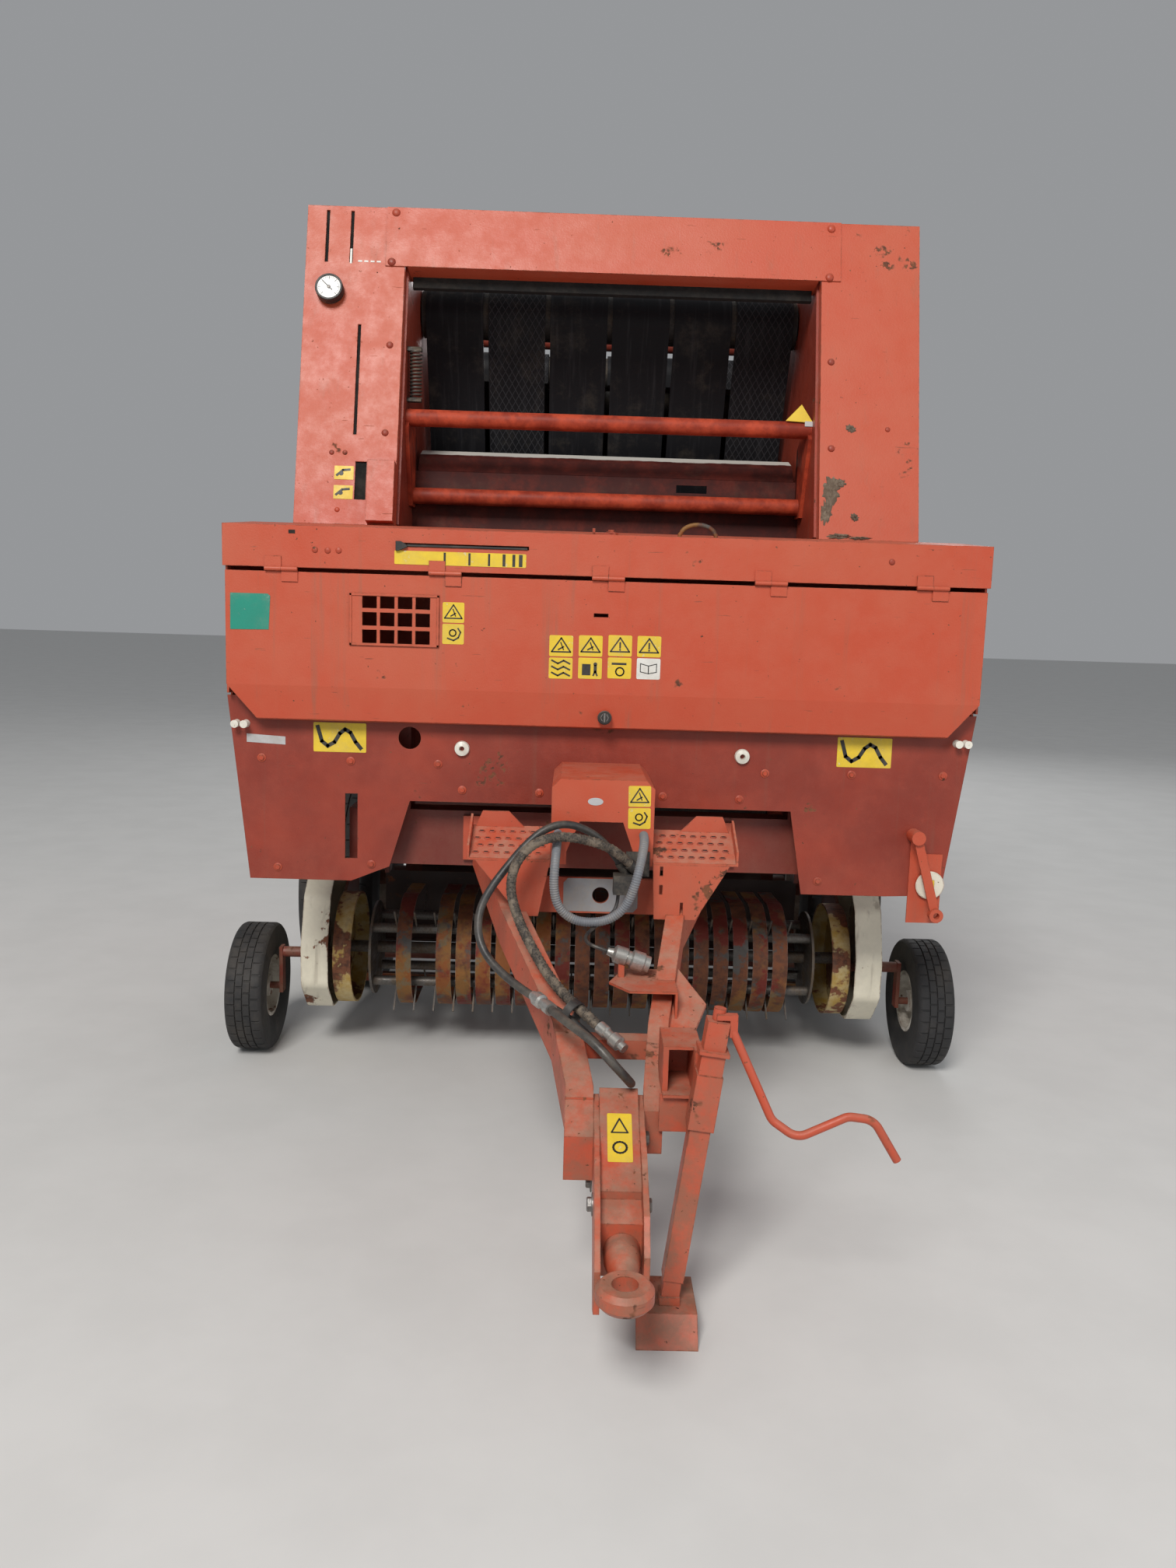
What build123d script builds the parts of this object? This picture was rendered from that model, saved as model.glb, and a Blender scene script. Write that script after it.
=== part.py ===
from build123d import *
import math
import os

os.makedirs("parts", exist_ok=True)

# A towed variable-chamber round baler. X is across the machine, positive to the right seen from
# the tractor; Y runs back from the hitch; Z is up. The origin is on the ground in the middle.

# Overall sizes
FRONT_Y = -1950.0
REAR_Y = 1950.0
FIT = 0.3

# Chamber
CHAMBER_HALF = 632.0
WALL = 8.0
WALL_OUT = CHAMBER_HALF + WALL
PIVOT_Y = 600.0
PIVOT_Z = 2600.0
SPLIT_BACK = 500.0
SPLIT_DROP = 2050.0
SPLIT_GAP = 8.0
PIVOT_PIN_R = 22.0
PIVOT_DISC_R = 34.0

# Belts
BELT_COUNT = 6
BELT_PITCH = 2 * (CHAMBER_HALF - 11) / BELT_COUNT
BELT_WIDE = BELT_PITCH - 17
BELT_THICK = 8.0
FRONT_BELT_ENDS = ((380.0, 2560.0), (300.0, 800.0))
TAIL_BELT_ENDS = ((1150.0, 700.0), (760.0, 2380.0))

# Tailgate cylinders: the pins at their feet and heads, in Y and Z
CYLINDER_FOOT = (800.0, 1300.0)
CYLINDER_HEAD = (954.0, 2374.0)
CYLINDER_X = WALL_OUT + 60
CYLINDER_PIN_R = 15.0
EYE_HALF = 20.0
BARREL_R = 35.0
BARREL_BORE_R = 25.0
BARREL_LONG = 760.0

# Outer side covers
COVER_OUT = WALL_OUT + 303
COVER_SHEET = 4.0
COVER_DEEP = 22.0
COVER_LOW_Z = 960.0
COVER_TOP_Z = 2450.0
SHIELD_TOP_Z = COVER_TOP_Z + 70
DOOR_HINGE_Y = 56.0

# Sloping portal at the front
PORTAL_LOW = (-275.0, 1758.0)
PORTAL_TOP = (-55.0, 2731.0)
PORTAL_SHEET = 6.0
PORTAL_DEEP = 90.0
PORTAL_INNER = WALL_OUT + FIT
BEAM_LOW = 810.0

# Twine box, front door and apron
BOX_FRONT = -595.0
BOX_BACK = -160.0
BOX_HALF = 1062.0
BOX_LOW_Z = 1200.0
HEADER_LOW_Z = 1615.0
HEADER_TOP_Z = 1729.0
HEADER_DEEP = 60.0
SHEET = 6.0
DOOR_HALF = BOX_HALF - 7
DOOR_LIP_HALF = DOOR_HALF - 83
DOOR_LOW_Z = 1192.0
DOOR_FOLD_Z = DOOR_LOW_Z + 98
DOOR_THICK = 24.0
DOOR_SHEET = 4.0
BOX_HINGE_Z = HEADER_LOW_Z - 5.0
BOX_HINGES = (-900.0, -450.0, 0.0, 450.0, 900.0)
KNUCKLE_R = 6.0
KNUCKLE_LEAF = 4.0
SIDE_HINGES = (COVER_LOW_Z + 190, (COVER_LOW_Z + COVER_TOP_Z) / 2, COVER_TOP_Z - 200)
APRON_FRONT = -535.0
APRON_HALF = BOX_HALF + 8
APRON_TOP_Z = 1255.0
SHAFT_Z = 975.0
SHAFT_R = 17.45
SHAFT_TIP_Y = -700.0
NECK_R = 42.0

# Chassis, axle and wheels
BEAM_IN = WALL_OUT + 20
BEAM_OUT = BEAM_IN + 80
BEAM_TOP_Z = 880.0
BEAM_BOTTOM_Z = 760.0
BEAM_END_Y = 1000.0
CROSS_Y = (-445.0, -345.0)
CROSS_Z = (760.0, 925.0)
AXLE_Y = 850.0
WHEEL_R = 425.0
WHEEL_WIDE = 300.0
WHEEL_X = BEAM_OUT + 220
AXLE_R = 50.0
STUB_R = 30.0
STUB_PAST = 28.0
RIM_R = 205.0

# Pickup
REEL_Y = 90.0
REEL_Z = 350.0
PICKUP_PLATE_X = BEAM_OUT + 122
BAND_R = 190.0
BAND_SHEET = 4.0
BAND_WIDE = 50.0
BAND_COUNT = 22
BAND_PITCH = 2 * (PICKUP_PLATE_X - 136) / BAND_COUNT
TINE_R = 240.0
TINE_WIRE = 5.5
BAR_COUNT = 4
BAR_CIRCLE_R = 130.0
BAR_R = 16.0
PICKUP_PIVOT_Y = 360.0
PICKUP_PIVOT_Z = 600.0
PICKUP_PIN_R = 18.0
GAUGE_R = 215.0
GAUGE_WIDE = 130.0
GAUGE_X = PICKUP_PLATE_X + 282
GAUGE_Y = 50.0

# Drawbar: its arms, the cheeks between their tips and the tow eye
ARM_BACK_Y = CROSS_Y[0] - FIT
ARM_BACK_TOP_Z = 859.0
ARM_BEND = (-900.0, 746.0)
ARM_SLOPE = 0.483
ARM_HIGH = 96.0
CHEEK_X = ((-20.0, -8.0), (76.0, 88.0))
EYE = (36.0, -1895.0, 280.0)
EYE_OUT_R = EYE[1] - FRONT_Y
EYE_BORE_R = 25.0
EYE_THICK = 40.0
SHANK_R = 36.0
CARRIER_WALL = 10.0

# Jack: distances along its centre line from the foot, and the widths of its square tubes
JACK_FOOT = (144.0, -1547.0, 0.0)
JACK_LEAN = (0.126, 0.0, 0.992)
JACK_BORE = 45.0
JACK_LEG_WIDE = 44.0
JACK_INNER_WIDE = 38.0
JACK_LOW = 455.0
JACK_STEP = 575.0
JACK_CAP = 620.0
JACK_HEAD = 690.0
JACK_LEG_TOP = 515.0

# Hoses and cable
BLACK_HOSE = 20.0
WORN_HOSE = 24.0
CONDUIT = 22.0
CABLE = 9.0
HOSE_BLOCK = ((28.0, -945.0, 800.0), (84.0, -899.0, 850.0))

SIDES = (("left", -1), ("right", 1))


def slab(outline, low, high, plane=Plane.YZ, mode=Mode.ADD):
    """Extrude a straight-sided outline drawn on a plane, from one offset to another."""
    with BuildSketch(plane.offset(low)) as face:
        with BuildLine():
            Polyline(*outline, close=True)
        make_face()
    extrude(face.sketch, amount=high - low, mode=mode)


def side_slab(outline, inner, outer, side, mode=Mode.ADD):
    """Add a plate drawn in Y and Z on one side of the machine, between two distances from the middle."""
    low, high = sorted((side * inner, side * outer))
    slab(outline, low, high, mode=mode)


def block(low, high, mode=Mode.ADD):
    """Add a box between two corners."""
    sizes = [b - a for a, b in zip(low, high)]
    middle = [(a + b) / 2 for a, b in zip(low, high)]
    with Locations(tuple(middle)):
        Box(*sizes, mode=mode)


def side_block(inner, outer, y_span, z_span, side, mode=Mode.ADD):
    """Add a box on one side of the machine, between two distances from the middle."""
    low, high = sorted((side * inner, side * outer))
    block((low, y_span[0], z_span[0]), (high, y_span[1], z_span[1]), mode=mode)


def rod(start, end, radius, mode=Mode.ADD):
    """Add a round bar between two points."""
    run = Vector(*end) - Vector(*start)
    with BuildSketch(Plane(origin=start, z_dir=run)) as section:
        Circle(radius)
    extrude(section.sketch, amount=run.length, mode=mode)


def cross_rod(y, z, radius, x_low, x_high, mode=Mode.ADD):
    """Add a round bar across the machine."""
    rod((x_low, y, z), (x_high, y, z), radius, mode)


def beam(start, end, wide, high, mode=Mode.ADD):
    """Add a box-section bar between two points, with its width lying level."""
    run = Vector(*end) - Vector(*start)
    level = run.cross(Vector(0, 0, 1))
    with BuildSketch(Plane(origin=start, x_dir=level, z_dir=run)) as section:
        Rectangle(wide, high)
    extrude(section.sketch, amount=run.length, mode=mode)


def strip(points, radii, thick, x_low, x_high):
    """Add a flat strip that follows a route drawn in Y and Z, with rounded turns."""
    with BuildSketch(Plane.YZ.offset(x_low)) as ribbon:
        with BuildLine():
            FilletPolyline(*points, radius=radii)
        trace(line_width=thick)
    extrude(ribbon.sketch, amount=x_high - x_low)


def tangent(first, second):
    """The line that runs from one roller to the next, as a point on it and its direction."""
    (y1, z1, r1, s1), (y2, z2, r2, s2) = first, second
    reach = math.hypot(y2 - y1, z2 - z1)
    left = math.atan2(z2 - z1, y2 - y1) + math.acos((s1 * r1 - s2 * r2) / reach)
    point = (y1 + s1 * r1 * math.cos(left), z1 + s1 * r1 * math.sin(left))
    return point, (math.sin(left), -math.cos(left))


def crossing(first, second):
    """The point where two lines cross."""
    (p1, d1), (p2, d2) = first, second
    along = ((p2[0] - p1[0]) * d2[1] - (p2[1] - p1[1]) * d2[0]) / (d1[0] * d2[1] - d1[1] * d2[0])
    return (p1[0] + along * d1[0], p1[1] + along * d1[1])


def belt(rollers, start, end, x_low):
    """Add one belt that runs from a point round the rollers to another point."""
    wrapped = [(y, z, r + BELT_THICK / 2 + FIT, s) for y, z, r, s in rollers]
    stations = [(*start, 0, 1), *wrapped, (*end, 0, 1)]
    lines = [tangent(a, b) for a, b in zip(stations, stations[1:])]
    corners = [crossing(a, b) for a, b in zip(lines, lines[1:])]
    strip([start, *corners, end], [w[2] for w in wrapped], BELT_THICK, x_low, x_low + BELT_WIDE)


def pan(outline, inner, outer, sheet, side, radius=12.0):
    """Add a sheet pan with rounded corners, open towards the machine, with a folded edge as deep as the pan."""
    for reach_in, reach_out, inset in ((inner, outer, 0), (inner - 1, outer - sheet, sheet)):
        low, high = sorted((side * reach_in, side * reach_out))
        with BuildSketch(Plane.YZ.offset(low)) as face:
            with BuildLine():
                FilletPolyline(*outline, radius=radius, close=True)
            make_face()
            if inset:
                offset(amount=-inset, kind=Kind.INTERSECTION)
        extrude(face.sketch, amount=high - low, mode=Mode.SUBTRACT if inset else Mode.ADD)


def turned(outline, origin, along):
    """Revolve a section, given as distance from an axis and distance along it, about that axis."""
    way = Vector(*along).normalized()
    across = way.cross(Vector(1, 0, 0) if abs(way.X) < 0.9 else Vector(0, 0, 1)).normalized()
    with BuildSketch(Plane(origin=origin, x_dir=across, z_dir=across.cross(way))) as section:
        with BuildLine():
            Polyline(*outline, close=True)
        make_face()
    revolve(section.sketch, axis=Axis(origin, along), revolution_arc=360)


def arm_top(y):
    """The height of the top of the drawbar arms at a distance along the machine."""
    back_slope = (ARM_BACK_TOP_Z - ARM_BEND[1]) / (ARM_BACK_Y - ARM_BEND[0])
    return ARM_BEND[1] + (y - ARM_BEND[0]) * (back_slope if y > ARM_BEND[0] else ARM_SLOPE)


def arm(plan, lift, drop, margin=0.0):
    """Make the body that a plan outline and the slope of the drawbar arms have in common."""
    ys = sorted({y for _, y in plan} | {ARM_BEND[0]})
    ys = [y for y in ys if min(p[1] for p in plan) <= y <= max(p[1] for p in plan)]
    ends = [(y, arm_top(y)) for y in ys]
    profile = [(y, z + lift) for y, z in ends] + [(y, z - drop) for y, z in reversed(ends)]
    reach = max(abs(x) for x, _ in plan) + 10
    with BuildPart() as body:
        with BuildSketch(Plane.YZ.offset(-reach)) as side_view:
            with BuildLine():
                Polyline(*profile, close=True)
            make_face()
            if margin:
                offset(amount=margin, kind=Kind.INTERSECTION)
        extrude(side_view.sketch, amount=2 * reach)
        with BuildSketch(Plane.XY) as plan_view:
            with BuildLine():
                Polyline(*plan, close=True)
            make_face()
            if margin:
                offset(amount=margin, kind=Kind.INTERSECTION)
        extrude(plan_view.sketch, amount=PIVOT_Z, mode=Mode.INTERSECT)
    return body.part


def cut_arms():
    """Cut away what would stand in the drawbar arms."""
    for plan in ARM_PLANS:
        add(arm(plan, 0, ARM_HIGH, FIT), mode=Mode.SUBTRACT)


def loop(first, second, thick, x_low, x_high):
    """Add a chain round two sprockets, each given as Y, Z and radius."""
    for grow, mode in ((thick / 2, Mode.ADD), (-thick / 2, Mode.SUBTRACT)):
        with BuildSketch(Plane.YZ.offset(x_low)) as band:
            for y, z, r in (first, second):
                with Locations((y, z)):
                    Circle(r + grow)
            make_hull()
        extrude(band.sketch, amount=x_high - x_low, mode=mode)


def cord(points, diameter):
    """Add a flexible line: straight runs between points with a smooth arc at each, and print its tightest arc."""
    spots = [Vector(*p) for p in points]
    runs = [b - a for a, b in zip(spots, spots[1:])]
    bends = []
    for a, b in zip(runs, runs[1:]):
        half = math.radians(a.get_angle(b)) / 2
        bends.append(0.45 * min(a.length, b.length) / math.tan(half))
    with BuildLine() as route:
        FilletPolyline(*spots, radius=bends)
    path = route.wires()[0]
    with BuildSketch(Plane(origin=path @ 0, z_dir=path % 0)) as section:
        RegularPolygon(diameter / 2, 8)
    sweep(section.sketch, path=path)
    tight = min(bends)
    print(f"cord {diameter:.0f} mm, {path.length:.0f} long, tightest arc {tight:.0f}, {tight / diameter:.1f} diameters")


def knuckle(side, z_low, z_high, y_low, y_high):
    """Add one leaf of an upright hinge on a side cover, with its round barrel."""
    side_block(COVER_OUT, COVER_OUT + KNUCKLE_LEAF, (y_low, y_high), (z_low, z_high), side)
    axis_x = side * (COVER_OUT + KNUCKLE_R)
    rod((axis_x, DOOR_HINGE_Y, z_low), (axis_x, DOOR_HINGE_Y, z_high), KNUCKLE_R)


def split_y(z):
    """The Y of the line where the tailgate parts from the front half, at a height."""
    return PIVOT_Y + SPLIT_BACK * (PIVOT_Z - z) / SPLIT_DROP


def finish(part, name):
    """Label a finished piece and write its file."""
    part.part.label = name
    export_step(part.part, f"parts/{name}.step")


# Chassis: two side beams, the front crossbeam, the axle hangers and the pickup hinge pins
with BuildPart() as chassis:
    block((-BEAM_OUT, CROSS_Y[0], CROSS_Z[0]), (BEAM_OUT, CROSS_Y[1], CROSS_Z[1]))
    for _, side in SIDES:
        side_block(BEAM_IN, BEAM_OUT, (CROSS_Y[1], BEAM_END_Y), (BEAM_BOTTOM_Z, BEAM_TOP_Z), side)
        side_block(BEAM_IN, BEAM_OUT, (AXLE_Y - 90, AXLE_Y + 90), (WHEEL_R + AXLE_R, BEAM_BOTTOM_Z), side)
        hanger = [(PICKUP_PIVOT_Y - 60, BEAM_TOP_Z - 20), (PICKUP_PIVOT_Y - 35, PICKUP_PIVOT_Z - 40),
                  (PICKUP_PIVOT_Y + 35, PICKUP_PIVOT_Z - 40), (PICKUP_PIVOT_Y + 60, BEAM_TOP_Z - 20)]
        side_slab(hanger, BEAM_OUT, BEAM_OUT + 16, side)
        pin_ends = sorted((side * BEAM_OUT, side * (PICKUP_PLATE_X + 14)))
        cross_rod(PICKUP_PIVOT_Y, PICKUP_PIVOT_Z, PICKUP_PIN_R, *pin_ends)
        for tie_y in (230, 900):
            side_block(WALL_OUT + FIT, BEAM_IN, (tie_y, tie_y + 70), (BEAM_BOTTOM_Z + 20, BEAM_TOP_Z - 20), side)
        # Ties from the crossbeam forward to the apron and up to the twine box
        side_block(WALL_OUT - 80, WALL_OUT, (APRON_FRONT + SHEET + FIT, CROSS_Y[1]), (980, 1000), side)
        side_block(WALL_OUT - 80, WALL_OUT, (CROSS_Y[0], CROSS_Y[1]), (CROSS_Z[1], BOX_LOW_Z - FIT), side)
finish(chassis, "chassis")

# Axle: a round tube with stub hubs
with BuildPart() as axle:
    cross_rod(AXLE_Y, WHEEL_R, AXLE_R - FIT, -WHEEL_X + 160, WHEEL_X - 160)
    for _, side in SIDES:
        ends = sorted((side * (WHEEL_X - 160), side * (WHEEL_X + STUB_PAST)))
        cross_rod(AXLE_Y, WHEEL_R, STUB_R, *ends)
finish(axle, "axle")

# Drawbar: two converging box arms, a keyhole plate and a link between them, a gusset and a top plate
ARM_PLANS = (
    ((-374, ARM_BACK_Y), (-262, ARM_BEND[0]), (-116, -1260), (-82, -1440), (-82, -1560), (CHEEK_X[0][0] - FIT, -1560),
     (CHEEK_X[0][0] - FIT, -1440), (-52, -1260), (-198, ARM_BEND[0]), (-310, ARM_BACK_Y)),
    ((366, ARM_BACK_Y), (218, ARM_BEND[0]), (155, -1260), (129, -1440), (129, -1495), (CHEEK_X[1][1] + FIT, -1495),
     (CHEEK_X[1][1] + FIT, -1440), (107, -1260), (170, ARM_BEND[0]), (318, ARM_BACK_Y)),
)
GUSSET = ((160, -1010), (251, -1175), (201, -1293), (140, -1330))
TOP_PLATE = ((-109, -1295), (-82, -1440), (-82, -1470), (CHEEK_X[0][0] - FIT, -1470), (CHEEK_X[0][0] - FIT, -1440),
             (-46, -1295))
KEYHOLE = (0, -799, 765)
ARM_FEET = (342, 60)
with BuildPart() as drawbar:
    for plan in ARM_PLANS:
        add(arm(plan, 0, ARM_HIGH))
    add(arm(GUSSET, -20, 28))
    add(arm(TOP_PLATE, 5, 2))
    block((-60, -1305, 500), (112, -1255, 545))
    block((-178, KEYHOLE[1] - 5, 715), (206, KEYHOLE[1] + 5, 812))
    with Locations(KEYHOLE):
        Cylinder(22, 40, rotation=(90, 0, 0), mode=Mode.SUBTRACT)
    for _, side in SIDES:
        middle, half = ARM_FEET
        block((side * middle - half, ARM_BACK_Y - 14, 780), (side * middle + half, ARM_BACK_Y, 912))
finish(drawbar, "drawbar")

# Hitch clevis: two cheeks between the arms' tips, joined by a back plate
CHEEK_BACK = [(-1440, 472), (-1440, 375), (-1700, 250), (-1800, 190)]
CHEEK_TOP = [(-1760, 360), (-1640, 420), (-1500, 461)]
with BuildPart() as hitch_clevis:
    slab([*CHEEK_BACK, (-1858, 215), (-1858, 300), *CHEEK_TOP], *CHEEK_X[0])
    slab([*CHEEK_BACK, (-1806, 212), (-1806, 300), *CHEEK_TOP], *CHEEK_X[1])
    block((CHEEK_X[0][1], -1452, 385), (CHEEK_X[1][0], -1440, 462))
finish(hitch_clevis, "hitch_clevis")

# Tow eye: a forged ring on a tapered shank, on a folded carrier between the cheeks
CARRIER = [(-1453, 492), (-1690, 374), (-1690, 358), (-1745, 335), (-1745, 226), (-1640, 268), (-1453, 392)]
with BuildPart() as tow_eye:
    slab(CARRIER, CHEEK_X[0][1] + FIT, CHEEK_X[1][0] - FIT)
    hollow = [(-1452, 481), (-1680, 368), (-1680, 347), (-1735, 324), (-1735, 150), (-1452, 150)]
    slab(hollow, CHEEK_X[0][1] + FIT + CARRIER_WALL, CHEEK_X[1][0] - FIT - CARRIER_WALL, mode=Mode.SUBTRACT)
    shank = [(0, 0), (SHANK_R, 0), (SHANK_R, 45), (SHANK_R - 6, 75), (EYE_THICK / 2 - 3, 108), (0, 108)]
    turned(shank, (EYE[0], -1740, EYE[2]), (0, -1, 0))
    half = EYE_THICK / 2
    ring = [(EYE_BORE_R, -half), (EYE_OUT_R - 9, -half), (EYE_OUT_R, -half + 10), (EYE_OUT_R, half - 10),
            (EYE_OUT_R - 9, half), (EYE_BORE_R, half)]
    turned(ring, EYE, (0, 0, 1))
    with Locations(EYE):
        Hole(EYE_BORE_R)
finish(tow_eye, "tow_eye")

# Coupler bracket: a shelf on a leg beside the right arm, with a saddle for the cable's plug
SHELF_Z = 630.0
PLUG_AT = (12.0, -1105.0, 698.0)
PLUG_WAY = Vector(0.955, 0.0, -0.296).normalized()
PLUG_R = 22.0
SADDLE_X = (40.0, 55.0)
with BuildPart() as coupler_bracket:
    shelf = [(56, -1043), (17, -1155), (63, -1222), (178, -1222), (178, -1043)]
    slab(shelf, SHELF_Z, SHELF_Z + 6, plane=Plane.XY)
    block((172, -1222, 520), (178, -1120, SHELF_Z))
    block((SADDLE_X[0], PLUG_AT[1] - 12, SHELF_Z), (SADDLE_X[1], PLUG_AT[1] + 12, 672))
    rod(PLUG_AT, tuple(Vector(*PLUG_AT) + PLUG_WAY * 90), PLUG_R + FIT, mode=Mode.SUBTRACT)
    cut_arms()
    add(arm(GUSSET, -20, 200, FIT), mode=Mode.SUBTRACT)
finish(coupler_bracket, "coupler_bracket")

# Jack: a leaning square tube with its bracket and head, and the telescopic leg that slides in it
jack_axis = Vector(*JACK_LEAN).normalized()


def on_jack(along):
    """The point on the jack's centre line at a distance from its foot."""
    return tuple(Vector(*JACK_FOOT) + jack_axis * along)


with BuildPart() as jack_body:
    beam(on_jack(JACK_LOW), on_jack(JACK_STEP), JACK_BORE + 10, JACK_BORE + 10)
    beam(on_jack(JACK_STEP), on_jack(JACK_CAP), JACK_BORE + 5, JACK_BORE + 5)
    beam(on_jack(JACK_CAP), on_jack(JACK_CAP + 8), 64, 64)
    beam(on_jack(JACK_CAP + 8), on_jack(JACK_HEAD), 42, 46)
    block((124, -1521, 500), (205, -1380, 606))
    block((190, -1524, 462), (232, -1505, 604))
    block((119, -1508, 420), (192, -1501, 503))
    block((136, -1522, 507), (188, -1386, 599), mode=Mode.SUBTRACT)
    block((120, -1523, 507), (188, -1500, 610), mode=Mode.SUBTRACT)
    beam(on_jack(JACK_LOW - 1), on_jack(JACK_CAP), JACK_BORE, JACK_BORE, mode=Mode.SUBTRACT)
    cut_arms()
finish(jack_body, "jack_body")

JACK_SHOE = [(-1640, 0), (-1600, 58), (-1456, 58), (-1430, 0), (-1436, 0), (-1460, 52), (-1596, 52), (-1633, 0)]
with BuildPart() as jack_leg:
    slab(JACK_SHOE, JACK_FOOT[0] - 65, JACK_FOOT[0] + 65)
    beam(on_jack(58), on_jack(140), JACK_INNER_WIDE, JACK_INNER_WIDE)
    beam(on_jack(111), on_jack(JACK_LEG_TOP), JACK_LEG_WIDE, JACK_LEG_WIDE)
    block((JACK_FOOT[0] - 14, JACK_FOOT[1] - 24, 50), (JACK_FOOT[0] + 30, JACK_FOOT[1] + 24, 76))
finish(jack_leg, "jack_leg")

# Jack crank: a long bent handle on a forked joint at the jack's head
CRANK = [(261, -1556, 664), (345, -1590, 487), (395, -1610, 458), (500, -1600, 503), (553, -1600, 497),
         (607, -1600, 410)]
with BuildPart() as jack_crank:
    with BuildLine() as bent:
        FilletPolyline(*CRANK, radius=[34, 40, 36, 44])
    bent_path = bent.wires()[0]
    with BuildSketch(Plane(origin=bent_path @ 0, z_dir=bent_path % 0)) as bar:
        Circle(9)
    sweep(bar.sketch, path=bent_path)
    block((226, -1564, 688), (270, -1548, 700))
    block((254, -1564, 652), (270, -1548, 700))
    rod(on_jack(JACK_HEAD + FIT), on_jack(JACK_HEAD + 26), 13)
finish(jack_crank, "jack_crank")

# Chamber walls: one plate each side, with the tailgate pin and the arms that steady the side covers
WALL_OUTLINE = [(-155, 800), (300, 610), (split_y(560) - SPLIT_GAP, 560), (split_y(2550) - SPLIT_GAP, 2550),
                (566, 2600), (560, 2634), (-30, 2690), (-235, 1765), (-155, 1765)]
for name, side in SIDES:
    with BuildPart() as chamber_wall:
        side_slab(WALL_OUTLINE, CHAMBER_HALF, WALL_OUT, side)
        disc_ends = sorted((side * CHAMBER_HALF, side * WALL_OUT))
        cross_rod(PIVOT_Y, PIVOT_Z, PIVOT_DISC_R, *disc_ends)
        pin_ends = sorted((side * CHAMBER_HALF, side * (WALL_OUT + 50)))
        cross_rod(PIVOT_Y, PIVOT_Z, PIVOT_PIN_R, *pin_ends)
        foot_ends = sorted((side * WALL_OUT, side * (CYLINDER_X + EYE_HALF + 2)))
        cross_rod(*CYLINDER_FOOT, CYLINDER_PIN_R, *foot_ends)
        for arm_y, arm_z in ((560, 2300), (860, 1060)):
            arm_ends = sorted((side * WALL_OUT, side * (COVER_OUT - COVER_SHEET - FIT)))
            cross_rod(arm_y, arm_z, 18, *arm_ends)
    finish(chamber_wall, f"chamber_wall_{name}")

# Portal: two sheet posts, each with its side panel, and the beam across their tops
portal_run = Vector(0, PORTAL_TOP[0] - PORTAL_LOW[0], PORTAL_TOP[1] - PORTAL_LOW[1])
portal_normal = Vector(0, -portal_run.Z, portal_run.Y)
portal_plane = Plane(origin=(0, *PORTAL_LOW), x_dir=(1, 0, 0), z_dir=portal_normal)
PORTAL_LONG = portal_run.length
SIDE_PANEL = [(-150, COVER_LOW_Z), (50, COVER_LOW_Z), (50, PORTAL_TOP[1] - 91), (-30, PORTAL_TOP[1] - 3),
              (PORTAL_TOP[0] + 2, PORTAL_TOP[1] - 3), (PORTAL_LOW[0] + 5, PORTAL_LOW[1] + 8), (-150, PORTAL_LOW[1] + 8)]


def sloped(x_low, x_high, z_low, z_high):
    """A rectangle on the portal's front, between two heights."""
    stretch = PORTAL_LONG / (PORTAL_TOP[1] - PORTAL_LOW[1])
    low, high = (z_low - PORTAL_LOW[1]) * stretch, (z_high - PORTAL_LOW[1]) * stretch
    return [(x_low, low), (x_high, low), (x_high, high), (x_low, high)]


# Slots in the left post: X and Z of two opposite corners
POST_SLOTS = ((-885, -875, 2556, 2717), (-810, -800, 2556, 2717), (-775, -765, 2029, 2366), (-764, -730, 1833, 1948))
POST_BRACKET = (-722, -PORTAL_INNER - 1, 1762, 1943)
for name, side in SIDES:
    with BuildPart() as portal_post:
        x_low, x_high = sorted((side * PORTAL_INNER, side * COVER_OUT))
        face = [(x_low, 0), (x_high, 0), (x_high, PORTAL_LONG), (x_low, PORTAL_LONG)]
        slab(face, -PORTAL_SHEET, 0, plane=portal_plane)
        x_low, x_high = sorted((side * PORTAL_INNER, side * (PORTAL_INNER + PORTAL_SHEET)))
        flange = [(x_low, 0), (x_high, 0), (x_high, PORTAL_LONG), (x_low, PORTAL_LONG)]
        slab(flange, -PORTAL_DEEP, -PORTAL_SHEET, plane=portal_plane)
        side_slab(SIDE_PANEL, COVER_OUT - PORTAL_SHEET, COVER_OUT, side)
        if side < 0:
            slab(sloped(*POST_BRACKET), 0, 34, plane=portal_plane)
            for slot in POST_SLOTS:
                slab(sloped(*slot), -PORTAL_SHEET - 1, 1, plane=portal_plane, mode=Mode.SUBTRACT)
        block((-BOX_HALF, -400, 1600), (BOX_HALF, BOX_BACK + 5, PORTAL_LOW[1]), mode=Mode.SUBTRACT)
        for z in SIDE_HINGES:
            knuckle(side, z - 45, z, DOOR_HINGE_Y - 36, DOOR_HINGE_Y)
    finish(portal_post, f"portal_{name}")

BEAM_PLATE_HALF = PORTAL_INNER + 59
with BuildPart() as portal_beam:
    for half, low_rise, low, high, mode in (
            (CHAMBER_HALF - FIT, 0, -PORTAL_DEEP, FIT, Mode.ADD), (BEAM_PLATE_HALF, 0, FIT, FIT + 4, Mode.ADD),
            (CHAMBER_HALF, PORTAL_SHEET, -PORTAL_DEEP - 1, FIT - PORTAL_SHEET, Mode.SUBTRACT)):
        face = [(-half, BEAM_LOW + low_rise), (half, BEAM_LOW + low_rise), (half, PORTAL_LONG - low_rise),
                (-half, PORTAL_LONG - low_rise)]
        slab(face, low, high, plane=portal_plane, mode=mode)
finish(portal_beam, "portal_beam")

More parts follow.
